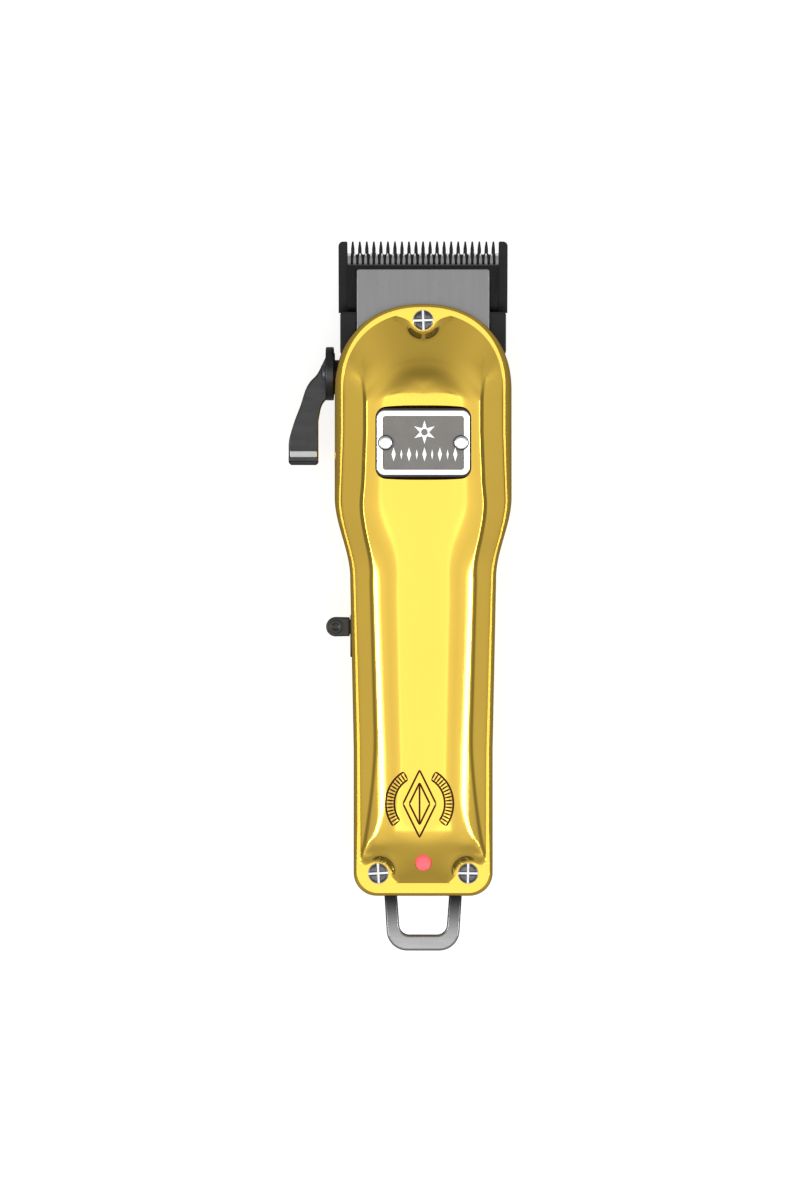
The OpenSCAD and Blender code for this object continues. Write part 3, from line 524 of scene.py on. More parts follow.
def side_rise(e, y):
    """The same slope with its corners rounded, by a weighted mean over nearby distances."""
    reach = mix(0.12, 0.035, (y - 14) / 12)
    total = 0.0
    for k in range(-3, 4):
        total = total + (4 - abs(k)) * side_rise_raw(e + k * reach, y)
    return total / 16


def front_rise(x, y, e):
    """Slope over the head: it climbs from the rim to a round crest."""
    r = np.hypot(0.97 * x, np.maximum(y - 40, 0)) - 19.4
    return crown_h(y) * e / np.maximum(np.maximum(r, -10) + e, 0.6)


def tail_rise(x, y):
    """Slope that climbs from the tail, bent back a little beside the middle."""
    back = y - 0.03 * np.minimum(x * x, 200) * smooth((y - TAIL_FOOT_Y) / 9)
    v = clamp01((back - TAIL_FOOT_Y) / 28.0)
    return 7.9 * (1 - (1 - v) ** 2.3) + 0.2 * np.maximum(back + 52, 0)


def pad_edge(dist, e, radius, flare, flare_w, soft):
    """0 on a round flat pad, 1 away from it; the pad flares by flare where it joins the flange."""
    return smooth((dist - radius - flare * np.exp(-(e / flare_w) ** 2)) / soft)


def lobe(x, y):
    """0 on the flat pads round the lid screws, 1 away from them."""
    e = np.maximum(rim_dist(x, y), 0)
    share = pad_edge(np.hypot(x, y - SCREW_HEAD_Y), e, 3.05, 3.3, 1.7, 2.8)
    e = np.minimum(e, np.maximum(y - TAIL_FOOT_Y, 0))
    for side in (-1, 1):
        dist = np.hypot(x - side * SCREW_TAIL_X, y - SCREW_TAIL_Y)
        share = share * pad_edge(dist, e, 3.1, 1.7, 1.5, 2.0)
    return share


def lid_rise(x, y):
    """Height of the lid above its flange."""
    e = rim_dist(x, y)
    side = side_rise(e, y)
    front = front_rise(x, y, np.maximum(e, 0))
    tail = tail_rise(x, y)
    rise = soft_min(side, front, np.minimum(3.0, 0.5 * np.minimum(side, front) + 0.01))
    rise = soft_min(rise, tail, np.minimum(2.0, 0.4 * np.minimum(rise, tail) + 0.01))
    return np.where(y <= TAIL_FOOT_Y, 0, np.maximum(rise, 0)) * lobe(x, y)


def lid_top(x, y):
    return FLANGE_Z + lid_rise(x, y)


def whole_ring(half, z):
    """Closed ring from half an outline and its heights."""
    right = np.column_stack([half, np.broadcast_to(z, len(half))])
    left = right[-2:0:-1] * np.array([-1, 1, 1])
    return np.concatenate([right, left])


def ring_stack(rings):
    """Closed part from rings of equal length; rows of quads close the first and the last."""
    n = len(rings[0])
    last = n // 2 - len(END_X) - 2
    cap = [(0, 1, n - 1)] + [(i, i + 1, n - i - 1, n - i) for i in range(1, last)]
    cap.append(tuple(range(last, n - last + 1)))
    faces = []
    for base in range(0, (len(rings) - 1) * n, n):
        faces += [(base + i, base + (i + 1) % n, base + (i + 1) % n + n, base + i + n) for i in range(n)]
    faces += [c[::-1] for c in cap]
    faces += [tuple((len(rings) - 1) * n + i for i in c) for c in cap]
    return np.concatenate(rings), faces


# ---- lid

# size of the lid's rounded edge from the tail to the head, and its two roundings, each a curve from the first
# to the last of three (inset, height) points in that size; the flat face between them is the bevel
EDGE_Y = (-78, -70, -60, 0, 10, 16, 24, 32, 45, 56, 66, 74, 80)
EDGE_SIZE = (0.8, 0.85, 1.05, 1.0, 0.9, 0.9, 1.1, 1.45, 1.8, 1.8, 1.4, 0.9, 0.7)
EDGE_ROUNDINGS = (((0, -1.38), (0, -1.08), (0.22, -0.86)), ((0.975, -0.027), (1, 0), (1.025, 0)))
EDGE_INSET = EDGE_ROUNDINGS[1][-1][0]


def edge_rings(rim):
    """Rings up the lid's side wall, over its edge, and across the flange to the rim."""
    low_rim = ((0.16, 0), (0.04, 0.06), (0, 0.18))
    rings = [whole_ring(half_outline(0, inset), SPLIT_Z + up) for inset, up in low_rim]
    size = np.interp(rim[:, 1], EDGE_Y, EDGE_SIZE)
    for p0, p1, p2 in EDGE_ROUNDINGS:
        for t in (0, 0.25, 0.5, 0.75, 1):
            inset, up = ((1 - t) ** 2 * a + 2 * t * (1 - t) * b + t * t * c for a, b, c in zip(p0, p1, p2))
            rings.append(whole_ring(half_outline(0, inset * size), FLANGE_Z + up * size))
    edge = half_outline(0, EDGE_INSET * size)
    gap = np.linalg.norm(edge - rim, axis=1)
    for back in (0.6, 0.35, 0.15, 0.05):
        share = np.minimum(back, 0.9 * gap * (back + 0.1) / 0.85) / gap
        rings.append(whole_ring(rim + (edge - rim) * share[:, None], FLANGE_Z))
    return rings


def slope_steps(wide):
    """Distances from the rim at which the slope's rings run: close at the foot and over the steep band."""
    steps = [wide * 0 + k for k in (0, 0.04, 0.08, 0.13, 0.19, 0.26, 0.35)]
    steps += [0.35 + (wide - 0.7) * k for k in (0.12, 0.3, 0.5, 0.7, 0.88)]
    steps += [wide + k for k in (-0.35, -0.22, -0.1, 0.02, 0.15, 0.3, 0.45, 0.6, 0.75, 0.88)]
    steps += [wide + k for k in (1.0, 1.12, 1.26, 1.5, 1.8, 2.2)]
    return steps


def slope_rings(rim):
    """Rings that follow the ledge and the band inwards, then share out the rest up to the centre line."""
    goal = np.column_stack([np.zeros(len(rim)), np.clip(rim[:, 1], STRAIGHT_Y, 58)])
    last = 600
    ways = np.linspace(0, 1, last + 1)[:, None]
    px = rim[None, :, 0] * (1 - ways)
    py = rim[None, :, 1] + (goal[None, :, 1] - rim[None, :, 1]) * ways
    dist = np.minimum(rim_dist(px, py), py - TAIL_FOOT_Y + 1e3 * (rim[None, :, 1] > -66))
    dist = np.maximum.accumulate(dist, 0) + ways * 1e-3
    wide = ledge_w(py)
    cols = np.arange(len(rim))

    def ring(way):
        p = rim * (1 - way[:, None]) + goal * way[:, None]
        return whole_ring(p, lid_top(p[:, 0], p[:, 1]))

    rings = []
    way = np.zeros(len(rim))
    level = np.zeros_like(wide)
    for k, step in enumerate(slope_steps(wide)):
        level = np.maximum(level + 0.02 * (k > 0), step)
        ahead = dist - level
        at = np.where((ahead >= 0).any(axis=0), np.argmax(ahead >= 0, axis=0), last)
        below = np.maximum(at - 1, 0)
        a0, a1 = ahead[below, cols], ahead[at, cols]
        found = ways[below, 0] + (ways[at, 0] - ways[below, 0]) * clamp01(-a0 / np.maximum(a1 - a0, 1e-9))
        way = np.clip(np.maximum(found, way + 2e-4 * (k > 0)), 0, 0.9)
        rings.append(ring(way))
    for v in np.concatenate([np.linspace(0, 0.86, 25)[1:], [0.91, 0.95, 0.98]]):
        rings.append(ring(way + (1 - way) * v))
    return rings


def underside_rings():
    """Rings of the lid's inside, from the middle of its roof out to its lower rim."""
    rim = half_outline(0, LID_WALL)
    goal = np.column_stack([np.zeros(len(rim)), np.clip(rim[:, 1], STRAIGHT_Y, 58)])
    foot = SPLIT_Z + 1.2
    rings = []
    for t in (0.98, 0.9, 0.78, 0.66, 0.54, 0.42, 0.33, 0.25, 0.18, 0.1, 0.03):
        p = rim * (1 - t) + goal * t
        rings.append(whole_ring(p, np.maximum(foot, lid_top(p[:, 0], p[:, 1]) - ROOF)))
    rings.append(whole_ring(rim, foot))
    rings.append(whole_ring(rim, SPLIT_Z + 0.05))
    rings.append(whole_ring(half_outline(0, LID_WALL - 0.1), SPLIT_Z))
    return rings


def build_lid():
    """Lid with its screw wells and holes, the badge's recess, and the holes for the rivets and the light."""
    rim = half_outline(1, 0)
    rings = underside_rings() + edge_rings(rim) + slope_rings(rim)
    lid = piece("lid", ring_stack(rings), "top_cover", angle=40)
    recess_low = rounded_rect(25.3, 17.9, 2.4, 0, BADGE_Y)
    recess_top = rounded_rect(25.9, 20.0, 3.0, 0, BADGE_Y)
    cut(
        lid,
        *[prism(circle(2.96, 40, x, y), 24.4, 26.2, 0) for x, y in SCREWS],
        frustum(recess_low, recess_top, 31.0, 32.9),
        prism(circle(2.2, 48, 0, LIGHT_Y), 22.5, 30, 0),
        *[prism(circle(1.6, 24, x, y), 20, 24.6, 0) for x, y in SCREWS],
        *[prism(circle(0.85, 16, x, BADGE_Y), 20, 31.2, 0) for x in (-RIVET_X, RIVET_X)],
        angle=40,
    )


# ---- tub


def belly_z(y):
    """Height of the tub's underside, which rises under the head."""
    return np.where(y < 40, 0.0, 9 * (np.maximum(y - 40, 0) / 26.2) ** 1.4) - 0.3


def tub_height(p, share, base=0.0):
    """Height at a share of the way from the underside, raised by base, to the lid."""
    return mix(belly_z(np.minimum(p[:, 1], 70)) + base, SPLIT_Z, share)


def build_tub():
    """Tub with its open front, and the openings for the lever, the socket, the hook's legs and the switch."""
    rings = []
    round_edge = [(7.5, 0), (5, 0.035), (3, 0.105), (1.4, 0.22), (0.4, 0.37), (0, 0.54)]
    for inset, share in [*smooth_line(round_edge, count=3), (0, 0.75), (0, 0.985)]:
        p = half_outline(0, max(inset, 0.0))
        rings.append(whole_ring(p, np.maximum(tub_height(p, share), 0.0)))
    rings.append(whole_ring(half_outline(0, 0.04), SPLIT_Z - 0.08))
    rings.append(whole_ring(half_outline(0, 0.2), SPLIT_Z))
    for inset, share in [(0.12, 1), (0, 0.99), (0, 0.52), (0.45, 0.34), (1.6, 0.19), (3.5, 0.07), (6, 0)]:
        p = half_outline(0, inset + TUB_WALL)
        rings.append(whole_ring(p, tub_height(p, share, 2.1)))
    tub = piece("tub", ring_stack(rings), "bottom_housing", angle=40)
    cut(
        tub,
        box_mm(-40, 40, 66.2, 100, -5, 40),
        along_x(prism(circle(4.1, 40), -30, -19, 0), LEVER_Y, LEVER_Z),
        along_y(prism(circle(4.05, 40), -90, -76.5, 0), 0, SOCKET_Z),
        box_mm(6.8, 10.8, -90, -77, 19.2, 30),
        box_mm(-10.8, -6.8, -90, -77, 19.2, 30),
        box_mm(-25, -18.5, -15.6, -3.8, 10, 16),
        box_mm(-18.6, -14, -14.7, -4.7, 11.2, 14.8),
        angle=40,
    )


# ---- screws


def screw_quarter(head_r, head_h, dome, slot_w, quarter):
    """One of the four domed quarters that stand between the arms of a cross slot."""
    half_slot, outer_r = slot_w / 2, head_r * 0.95
    arc_points = 9
    rows = []
    for inset, lift in ((0, 0), (0.02, 0.6), (0.1, 0.86), (0.24, 0.98)):
        near, far = half_slot + inset * head_r, outer_r - inset * head_r
        start = math.asin(near / far)
        sweep = math.pi / 2 - 2 * start
        points = [(near, near)]
        for i in range(arc_points):
            a = start + sweep * i / (arc_points - 1)
            points.append((far * math.cos(a), far * math.sin(a)))
        rows.append([(x, y, 0.5 * head_h - 0.02 + (head_h * 0.5) * lift
                      * (1 - dome * (x * x + y * y) / head_r ** 2)) for x, y in points])
    m = len(rows[0])
    faces = [(a * m + i, a * m + (i + 1) % m, (a + 1) * m + (i + 1) % m, (a + 1) * m + i)
             for a in range(len(rows) - 1) for i in range(m)]
    faces.append(tuple(range(m))[::-1])
    faces.append(tuple(range((len(rows) - 1) * m, len(rows) * m)))
    v = np.array([point for row in rows for point in row])
    c, s = math.cos(math.pi / 2 * quarter), math.sin(math.pi / 2 * quarter)
    return np.column_stack([v[:, 0] * c - v[:, 1] * s, v[:, 0] * s + v[:, 1] * c, v[:, 2]]), faces


def cross_screw(head_r, head_h, dome, shank_r, shank_len, slot_w):
    """Pan-head screw with a cross slot from edge to edge: a thin bright disc, and its four domed quarters."""
    shank = [(0, -shank_len), (shank_r * 0.6, -shank_len), (shank_r, -shank_len + 0.5), (shank_r, 0)]
    head = [(head_r * 0.93, 0), (head_r, 0.08), (head_r, 0.42 * head_h), (head_r * 0.96, 0.5 * head_h)]
    disc = revolve([*shank, *head, (0, 0.5 * head_h)], 40)
    return disc, merged(*[screw_quarter(head_r, head_h, dome, slot_w, quarter) for quarter in range(4)])


def build_lid_screws():
    """The head screw is short; each screw is turned a little, as if driven by hand."""
    discs, quarters = [], []
    for (x, y), shank_len, turned in zip(SCREWS, (4.3, 9, 9), (2, -1, 3)):
        turn = Matrix.Rotation(math.radians(turned), 4, "Z")
        disc, quarter = cross_screw(2.8, 1.5, 0.55, 1.45, shank_len, 0.56)
        discs.append(put(disc, x, y, SCREW_Z, turn))
        quarters.append(put(quarter, x, y, SCREW_Z, turn))
    piece("lid_screws", merged(*discs), "cover_screws", CROSS, angle=30)
    # the domed quarters take the darker chrome: painted shade
    piece("lid_screw_heads", merged(*quarters), "cover_screws", SHADED_CHROME, angle=50)


# ---- badge

BADGE_LOW, BADGE_TOP = 31.05, 32.9
FIELD_Z = 32.62


def build_badge():
    """Raised border round a dark field, held by two rivets; a black ring round the border and black rings
    under the rivets are painted shade for the dark gaps round them.
    """
    window = rounded_rect(21.5, 13.9, 0.8, 0, BADGE_Y)
    border = prism(rounded_rect(24.8, 17.4, 2.1, 0, BADGE_Y), BADGE_LOW, BADGE_TOP, 0.28, [window], 3)
    piece("badge_border", border, "badge_plate", angle=50)
    piece("badge_field", prism(window, BADGE_LOW, FIELD_Z, 0.05, (), 1), "badge_plate", FIELD)
    # painted shade: a thin black ring fills the dark gap round the badge's border
    gap_shade = prism(rounded_rect(25.3, 18.3, 2.5, 0, BADGE_Y), 31.0, 32.72, 0.08,
                   [rounded_rect(24.84, 17.44, 2.1, 0, BADGE_Y)], 1)
    piece("badge_gap_shade", gap_shade, "badge_plate", MATS["chip_black"], angle=40)
    rivet = revolve([(0, -2.6), (0.8, -2.6), (0.8, -0.05), (1.5, -0.05), (1.68, 0.05), (1.7, 0.2),
                     (1.6, 0.29), (1.2, 0.34), (0.6, 0.37), (0, 0.38)], 40)
    rivets = [put(rivet, x, BADGE_Y, BADGE_TOP + 0.03) for x in (-RIVET_X, RIVET_X)]
    piece("badge_rivet_heads", merged(*rivets), "badge_rivets", angle=45)
    # painted shade: black rings give the rivet heads their dark outlines
    ring = prism(circle(2.02, 36), 32.6, BADGE_TOP + 0.07, 0.05, [circle(1.74, 36)], 1)
    rings = [put(ring, x, BADGE_Y, 0) for x in (-RIVET_X, RIVET_X)]
    piece("badge_rivet_shade_rings", merged(*rings), "badge_plate", MATS["chip_black"])


# ---- generic ornaments


def ribbon(line, width, up=0.03, down=0.35):
    """Thin raised line on the lid: a closed strip along an open 2D line, narrow at its ends."""
    p = np.asarray(line, float)
    d = np.gradient(p, axis=0)
    d /= np.maximum(np.linalg.norm(d, axis=1), 1e-9)[:, None]
    n = np.stack([-d[:, 1], d[:, 0]], 1) * width / 2
    n[[0, -1]] *= 0.3
    rails = []
    for side, dz in ((1, up), (-1, up), (-1, -down), (1, -down)):
        q = p + n * side
        rails.append(np.column_stack([q, lid_top(q[:, 0], q[:, 1]) + dz]))
    last = 4 * (len(p) - 1)
    corners = [(k, (k + 1) % 4) for k in range(4)]
    faces = [(a + k, a + j, a + 4 + j, a + 4 + k) for a in range(0, last, 4) for k, j in corners]
    faces += [(0, 1, 2, 3), (last + 3, last + 2, last + 1, last)]
    return np.stack(rails, 1).reshape(-1, 3), faces


def build_tail_ornament():
    """Double diamond with a line down its middle, between two toothed arcs."""
    centre = np.array([-1.0, -54.2])
    line_w, tooth_w = 0.5, 0.46
    inner, outer = np.array([6.7, 7.2]), np.array([9.0, 9.6])
    first, last = 62, -38
    lines = []

    def mirrored(line, width):
        for side in (-1, 1):
            lines.append((np.asarray(line) * np.array([side, 1]) + centre, width))

    def on_arc(radii, degrees):
        a = np.radians(degrees)
        return np.stack([radii[0] * np.cos(a), radii[1] * np.sin(a)], -1)

    mirrored(on_arc(outer, np.linspace(first, last, 50)), line_w)
    mirrored(on_arc(inner, np.linspace(first, last, 40)), line_w)
    for degrees in np.linspace(first, last, 17):
        start, end = on_arc(inner, degrees), on_arc(outer, degrees)
        mirrored([start + (end - start) * t for t in np.linspace(0, 1, 4)], tooth_w)
    diamond = np.array([(0, 9), (4.4, 0), (0, -9), (-4.4, 0), (0, 9)])
    for shrink in (1.0, 0.62):
        ends = centre + diamond * shrink
        for start, end in zip(ends[:-1], ends[1:]):
            lines.append(([start + (end - start) * t for t in np.linspace(-0.01, 1.01, 16)], line_w))
    lines.append(([centre + (0, y) for y in np.linspace(5, -5, 14)], line_w))
    piece("tail_inlay", merged(*[ribbon(line, width) for line, width in lines]), "top_cover", INK, angle=60)


def build_badge_ornament():
    """Row of small diamonds under a six-pointed rosette, raised on the badge's field."""
    middle, row_y, rose_y = 0.3, 38.7, 44.6
    marks = []
    for k in range(9):
        x = middle + (k - 4) * 2.05
        tall, wide = ((2.0, 0.62), (1.5, 0.34))[k % 2]
        outline = [(x - wide, row_y), (x, row_y - tall), (x + wide, row_y), (x, row_y + tall)]
        marks.append(prism(outline, FIELD_Z - 0.12, FIELD_Z + 0.12, 0.05, (), 1))
    rose = []
    for k in range(12):
        a = math.radians(90 + 30 * k)
        r = (3.3, 1.3)[k % 2]
        rose.append((middle + r * math.cos(a), rose_y + r * math.sin(a)))
    hole = circle(0.85, 20, middle, rose_y)
    marks.append(prism(rose, FIELD_Z - 0.12, FIELD_Z + 0.14, 0.06, [hole], 1))
    piece("badge_ornament", merged(*marks), "badge_plate", MATS["badge_metal"], angle=40)


# ---- light


def build_light():
    """Red cap with a rounded edge, in the hole at the lid's tail."""
    lens = revolve([(0, 25.2), (2.12, 25.2), (2.12, 27.45), (2.05, 27.62), (1.85, 27.71), (1.1, 27.74),
                    (0, 27.75)], 48)
    piece("charge_light", put(lens, 0, LIGHT_Y, 0), "indicator_lens", angle=45)


# ---- hook


def hook_outline(leg_x, end_x, end_y, r):
    """One edge of the hook's flat wire: down a leg, round the end, up the other leg."""
    leg_top, leg_end = -75.4, -79.0
    right = [(leg_x, leg_top), (leg_x, leg_end)] + corner(end_x - r, end_y + r, r, 0, 12, sweep=-90)
    return right + [(-x, y) for x, y in right[::-1]]


def build_hook():
    """Flat loop with an eye round each tail screw."""
    low, top = 19.35, 21.75
    loop = hook_outline(10.4, 9.8, -94.1, 5.5) + hook_outline(7.0, 6.4, -89.8, 2.7)[::-1]
    legs = prism(loop, low, top, 0.75, (), 4)
    eyes = [prism(circle(4.05, 40, x, SCREW_TAIL_Y), low + 0.01, top - 0.01, 0.2,
                  [circle(2.95, 32, x, SCREW_TAIL_Y)]) for x in (-SCREW_TAIL_X, SCREW_TAIL_X)]
    piece("hanging_loop", merged(legs, *eyes), "hanging_hook", angle=50)


# ---- charging socket


def build_socket():
    """Round sleeve in front of a square barrel with a closed back, and the pin inside."""
    bore, square = circle(2.8, 40), rounded_rect(9.2, 9.4, 0.8)
    sleeve = prism(circle(4.0, 48), -79.15, -75.8, 0.25, [bore], 2)
    barrel = prism(square, -75.9, -69.5, 0.1, [bore], 1)
    back = prism(square, -69.52, -64.5, 0.1, (), 1)
    parts = [along_y(part, 0, SOCKET_Z) for part in (sleeve, barrel, back)]
    piece("charging_socket", merged(*parts), "charging_jack", angle=40)
    pin = revolve([(0, -69.4), (1.0, -69.4), (1.0, -77.7), (0.75, -78.15), (0.3, -78.3), (0, -78.3)], 32)
    piece("charging_socket_pin", along_y(pin, 0, SOCKET_Z), "charging_jack", MATS["screw_steel"], angle=40)


# ---- blades, built with their tooth tips at the origin

TIP = Matrix.Translation((0, TIP_Y, TIP_Z)) @ Matrix.Rotation(BLADE_TILT, 4, "X")


def comb_outline(half_w, back, tip, count, pitch, gap, depth, tooth_tip, root_r, corner_r):
    """Outline of a toothed blade: teeth point to +Y, and the two end teeth are wide with round tips."""
    first = (count - 1) / 2 * pitch
    edge = first + gap / 2
    inner_r = min(corner_r * 0.6, 0.5)
    root = tip - depth + root_r
    points = [(-half_w, back), (half_w, back)]
    # right end tooth, then each gap and tooth towards the left, then the left end tooth
    points += corner(half_w - corner_r, tip - corner_r, corner_r, 0, 6)
    points += corner(edge + inner_r, tip - inner_r, inner_r, 90, 6)[1:]
    for g in range(count):
        x = first - g * pitch
        if g:
            middle = x + pitch / 2
            points += [(middle + tooth_tip / 2, tip - 0.12), (middle + tooth_tip / 2 - 0.1, tip),
                       (middle - tooth_tip / 2 + 0.1, tip), (middle - tooth_tip / 2, tip - 0.12)]
            points.append((x + gap / 2, tip - depth * 0.55))
        points.append((x + gap / 2, root))
        for k in range(1, 5):
            a = math.radians(-36 * k)
            points.append((x + gap / 2 * math.cos(a), root + root_r * math.sin(a)))
        points.append((x - gap / 2, root))
        if g < count - 1:
            points.append((x - gap / 2, tip - depth * 0.55))
    points += corner(-edge - inner_r, tip - inner_r, inner_r, 0, 6)
    points += corner(-half_w + corner_r, tip - corner_r, corner_r, 90, 6)[1:]
    return points


def tilted_box(box, y, z, degrees):
    """Box turned about X, for cutting a ground face into a blade."""
    return put(box, 0, y, z, Matrix.Rotation(math.radians(degrees), 4, "X"))


def build_fixed_blade():
    """Toothed plate with a tongue for its two screws, ground underneath and grooved."""
    outline = comb_outline(22.75, -19.4, 0, 22, 1.89, 0.95, 3.75, 0.46, 0.47, 1.3)
    tongue = [(-17.7, -19.43), (-17.7, -28), (17.7, -28), (17.7, -19.43)]
    outline = [outline[0]] + tongue + outline[1:]
    holes = [circle(1.7, 24, x, -25) for x in (-10, 10)]
    plate = prism(outline, -2.4, 0, 0.12, holes, 1)
    blade = piece("fixed_blade_steel", moved(plate, TIP), "fixed_blade", angle=30)
    ground = tilted_box(box_mm(-30, 30, -1, 9, -4, 0), -4.6, -2.4, 24)
    groove = box_mm(-16, 16, -18.7, -12.3, -3.4, -1.9)
    cut(blade, moved(ground, TIP), moved(groove, TIP), angle=30)


def build_cutter():
    """Narrower, finer comb on the fixed blade, ground thin towards its teeth and grooved across its back."""
    outline = comb_outline(20.25, -18.6, -3.1, 27, 1.47, 0.72, 2.95, 0.34, 0.34, 0.4)
    plate = prism(outline, 0.04, 1.8, 0.08, (), 1)
    blade = piece("cutter_steel", moved(plate, TIP), "moving_blade", GROUND, angle=30)
    ground = tilted_box(box_mm(-30, 30, -6.2, 3, 0, 4), -2.8, 0.75, -15)
    groove = box_mm(-17, 17, -14.2, -9.8, 1.3, 2.8)
    cut(blade, moved(ground, TIP), moved(groove, TIP), angle=30)


def build_cheeks():
    """Black walls beside the blades."""
    for side, name in ((-1, "cheek_left"), (1, "cheek_right")):
        wall = prism(rounded_rect(4.3, 10.75, 0.55, side * 20.1, 71.75, 3), 8.95, 21.78, 0.35, (), 3)
        piece(name, wall, "front_chassis", angle=50, stands_for=False)


# ---- cover plate over the blades


def build_cover_plate():
    """Flat plate with a lip at each front corner, and holes for the head screw and two small screws."""
    outline = rounded_rect(35.6, 30.8, 0.7, 0, 73.4, 5)
    holes = [circle(3.6, 40, 0, SCREW_HEAD_Y)] + [circle(1.25, 20, x, 61.5) for x in (-14.5, 14.5)]
    flat = prism(outline, 20.8, 21.6, 0.22, holes, 2)
    lips = [prism(rounded_rect(0.8, 9.6, 0.25, x, 83.9, 3), 20.12, 20.95, 0.12, (), 1) for x in (-17.4, 17.4)]
    piece("plate_over_blades", merged(flat, *lips), "blade_cover_plate", angle=45)


# ---- taper lever


def build_taper_lever():
    """Arm on a round hub, a lip and a ridge at the arm's end, and the screw through the hub; the ridge is
    painted light grey, a painted highlight on the black lever.
    """
    outer_edge = [(-26.2, 65.5), (-28.4, 61), (-30.3, 58.9), (-31.6, 56.7), (-33, 52.4), (-34.6, 48.2),
                  (-35.9, 43.9), (-36.2, 41.7)]
    inner_edge = [(-28.2, 48.2), (-27.3, 52.4), (-25.5, 54.6), (-24.0, 55.6)]
    arm_line = [(-24.0, 66.5), *smooth_line(outer_edge), (-36.2, 37.0), (-35.6, 36.4), (-28.8, 36.4),
                (-28.2, 37.0), *smooth_line(inner_edge)]
    hub = along_x(prism(circle(7.2, 72), -26.2, -24.0, 0.35, [circle(1.6, 24)], 3), LEVER_Y, LEVER_Z)
    lip = prism(rounded_rect(8.0, 1.6, 0.45, -32.2, 37.9, 4), 15.5, 18.2, 0.4, (), 3)
    ridge = prism(rounded_rect(7.3, 1.9, 0.3, -32.15, 39.25, 3), 16.5, 18.39, 0.25, (), 2)
    piece("taper_lever_arm", prism(arm_line, 13.6, 17.4, 0.55, (), 4), "taper_lever", LEVER, angle=50)
    piece("taper_lever_hub", hub, "taper_lever", LEVER, angle=50)
    piece("taper_lever_lip", lip, "taper_lever", LEVER, angle=50)
    # the ridge's light grey is a painted highlight
    piece("taper_lever_ridge", ridge, "taper_lever", RIDGE_HIGHLIGHT, angle=50)
    screw = revolve([(0, -4.5), (1.5, -4.5), (1.5, 0), (2.7, 0), (2.75, 0.3), (2.6, 0.85), (2.0, 1.25),
                     (1.2, 1.42), (0, 1.5)], 36)
    screw = put(screw, -26.25, LEVER_Y, LEVER_Z, Matrix.Rotation(math.radians(-90), 4, "Y"))
    # painted shade: the lever's screw takes the darker chrome
    piece("taper_lever_screw", screw, "lever_screw", SHADED_CHROME, angle=40)


# ---- slide switch


def build_switch():
    """Round-ended knob with a dished cap and a stem through the slot, and the frame round the slot."""
    round_end = corner(SWITCH_X, SWITCH_Y, 2.65, 84, 24, sweep=192)
    body = prism([(-19.8, -9.75), (-19.8, -4.65), *round_end], 10.6, 15.4, 0.45, (), 3)
    cap = revolve([(0, 15.2), (1.9, 15.2), (1.9, 15.9), (1.75, 16.05), (1.55, 16.1), (1.1, 16.06),
                   (0.85, 15.85), (0.5, 15.7), (0.25, 15.72), (0, 15.8)], 36)
    stem = box_mm(-19.85, -14.8, -9.2, -5.2, 11.5, 14.5)
    piece("switch_knob", merged(body, put(cap, SWITCH_X, SWITCH_Y, 0), stem), "switch_slider", KNOB, angle=45)
    slot = rounded_rect(9.4, 3.3, 0.3, -9.7, 13, 3)
    bezel = prism(rounded_rect(11.4, 5.7, 1.0, -9.7, 13, 5), -19.6, -18.55, 0.2, [slot], 2)
    piece("switch_frame", along_x(bezel), "switch_bezel", angle=45)


for build in (build_lid, build_tub, build_lid_screws, build_badge, build_tail_ornament, build_badge_ornament,
              build_light, build_hook, build_socket, build_fixed_blade, build_cutter, build_cheeks,
              build_cover_plate, build_taper_lever, build_switch):
    build()

# ---- stage, light and camera, in metres


def area_light(name, place, aim, size_x, size_y, radiance):
    """Rectangular light of a given radiance, turned to its aim."""
    data = bpy.data.lights.new(name, "AREA")
    data.shape = "RECTANGLE"
    data.size, data.size_y = size_x, size_y
    data.energy = math.pi * size_x * size_y * radiance
    obj = bpy.data.objects.new(name, data)
    obj.location = place
    obj.rotation_euler = (Vector(aim) - Vector(place)).to_track_quat("-Z", "Y").to_euler()
    bpy.context.scene.collection.objects.link(obj)


def add_lights():
    """Broad softbox above, and a bright strip on each side that draws the lines on the gold edges."""
    area_light("top_softbox", (0, -0.21, 1.8), (0, -0.21, 0), 1.5, 1.28, 1.22)
    reach, tilt = 1.6, math.radians(58)
    for side, name in ((-1, "strip_left"), (1, "strip_right")):
        place = (side * reach * math.sin(tilt), 0, reach * math.cos(tilt))
        area_light(name, place, (0, 0, 0), 0.95, 0.3, 9.0)


# the studio's brightness to the sides, to the head and to the tail, as (degrees from the zenith, value)
SIDEWAYS = ((0, 0.1), (20, 0.12), (24, 0.94), (30, 0.88), (36, 0.83), (43, 0.88), (52, 0.8), (66, 0.46),
            (76, 0.56), (88, 0.46), (92, 0.32), (100, 0.2), (180, 0.16))
HEADWAYS = ((0, 0.1), (11, 0.12), (14, 0.72), (20, 0.56), (26, 0.32), (32, 0.21), (37, 0.25), (43, 0.38),
            (56, 0.43), (66, 0.34), (80, 0.42), (90, 0.34), (110, 0.3), (180, 0.24))
TAILWAYS = ((0, 0.1), (22, 0.12), (26, 0.93), (31, 0.82), (38, 0.62), (45, 0.47), (61, 0.36), (75, 0.4),
            (90, 0.32), (110, 0.26), (180, 0.2))


def brightness(tree, height, stops):
    """Grey from (degrees from the zenith, value) stops; height is 0 straight down and 1 straight up."""
    ramp = add_node(tree, "ValToRGB", {0: height})
    places = sorted(((math.cos(math.radians(a)) + 1) / 2, value) for a, value in stops)
    elements = ramp.color_ramp.elements
    for element, (place, value) in ((elements[0], places[0]), (elements[1], places[-1])):
        element.position, element.color = place, (value, value, value, 1)
    for place, value in places[1:-1]:
        elements.new(place).color = (value, value, value, 1)
    return ramp.outputs[0]


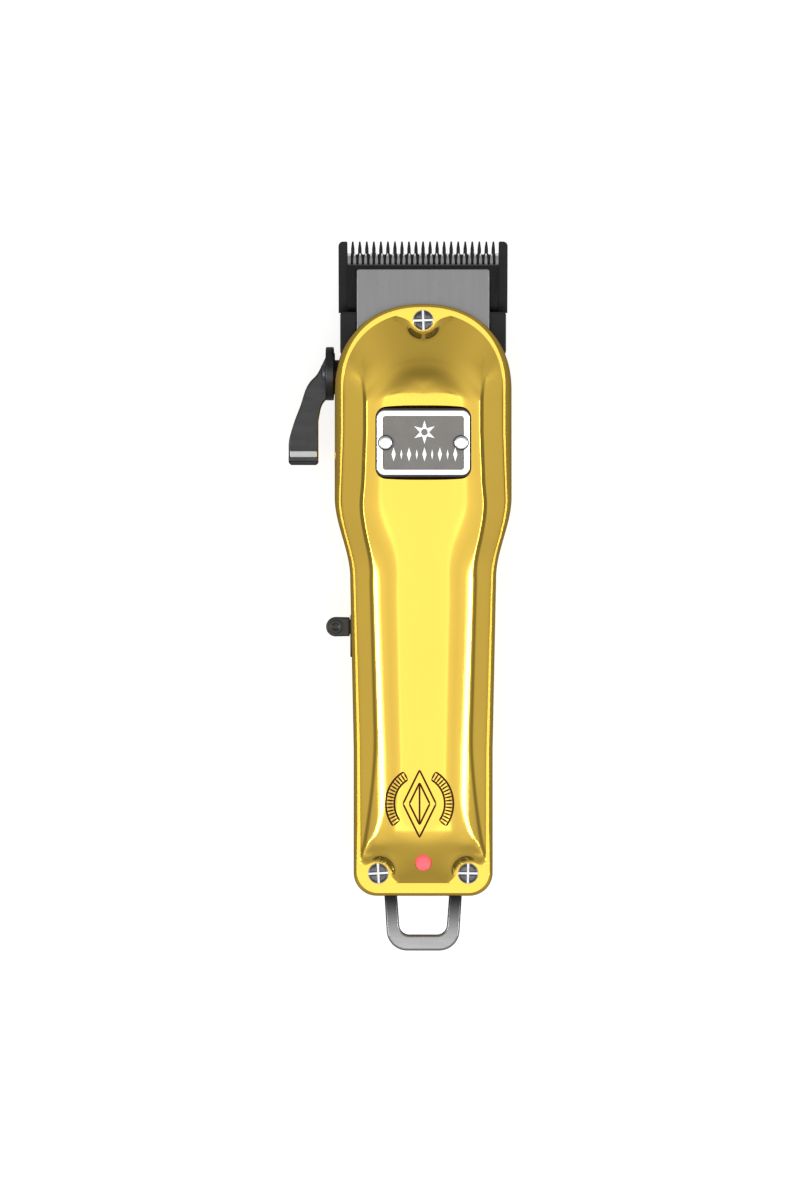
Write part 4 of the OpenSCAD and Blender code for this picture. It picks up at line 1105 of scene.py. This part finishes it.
def add_world():
    """Studio around the object: what the gold reflects depends on the direction, and the zenith is dark."""
    world = bpy.data.worlds.new("studio")
    bpy.context.scene.world = world
    world.use_nodes = True
    tree = world.node_tree
    tree.nodes.clear()

    def math_node(kind, a, b):
        return add_node(tree, "Math", {0: a, 1: b}, operation=kind).outputs[0]

    coord = add_node(tree, "TexCoord")
    split = add_node(tree, "SeparateXYZ", {0: coord.outputs["Generated"]})
    x, y, z = split.outputs
    height = add_node(tree, "MapRange", {"Value": z, "From Min": -1, "From Max": 1}).outputs[0]
    forward = add_node(tree, "MapRange", {"Value": y, "From Min": -0.08, "From Max": 0.08}).outputs[0]
    xx, yy = math_node("MULTIPLY", x, x), math_node("MULTIPLY", y, y)
    sideness = math_node("DIVIDE", xx, math_node("ADD", math_node("ADD", xx, yy), 1e-4))
    sides, head, tail = (brightness(tree, height, stops) for stops in (SIDEWAYS, HEADWAYS, TAILWAYS))
    color = blended(tree, sideness, blended(tree, forward, tail, head), sides)
    back = add_node(tree, "Background", {0: color, 1: 1.0})
    add_node(tree, "OutputWorld", {0: back.outputs[0]})


def add_floor():
    """White floor that the metal doesn't reflect."""
    reach = 6
    mesh = bpy.data.meshes.new("floor")
    corners = [(-reach, -reach, 0), (reach, -reach, 0), (reach, reach, 0), (-reach, reach, 0)]
    mesh.from_pydata(corners, [], [(0, 1, 2, 3)])
    floor = bpy.data.objects.new("floor", mesh)
    bpy.context.scene.collection.objects.link(floor)
    mesh.materials.append(shader("floor_white", (0.6, 0.6, 0.6), 0.0, (0.7, 0.8), 0.01, 3, bump=0.0,
                                 Emission_Color=(1, 1, 1, 1), Emission_Strength=0.62))
    floor.visible_glossy = False


def add_camera():
    """Long lens straight above the clipper, with a view 321 mm tall at the lid's edge, and plain colours."""
    view_h, aim_x, aim_z = 0.3211, -0.0062, 0.0245
    camera = bpy.data.cameras.new("camera")
    camera.lens = 135
    camera.sensor_width = 36
    camera.clip_end = 20
    cam = bpy.data.objects.new("camera", camera)
    cam.location = (aim_x, 0.0, aim_z + view_h * camera.lens / camera.sensor_width)
    cam.rotation_euler = (0, 0, 0)
    bpy.context.scene.collection.objects.link(cam)
    bpy.context.scene.camera = cam
    bpy.context.scene.view_settings.view_transform = "Standard"
    bpy.context.scene.view_settings.look = "None"


add_lights()
add_world()
add_floor()
add_camera()
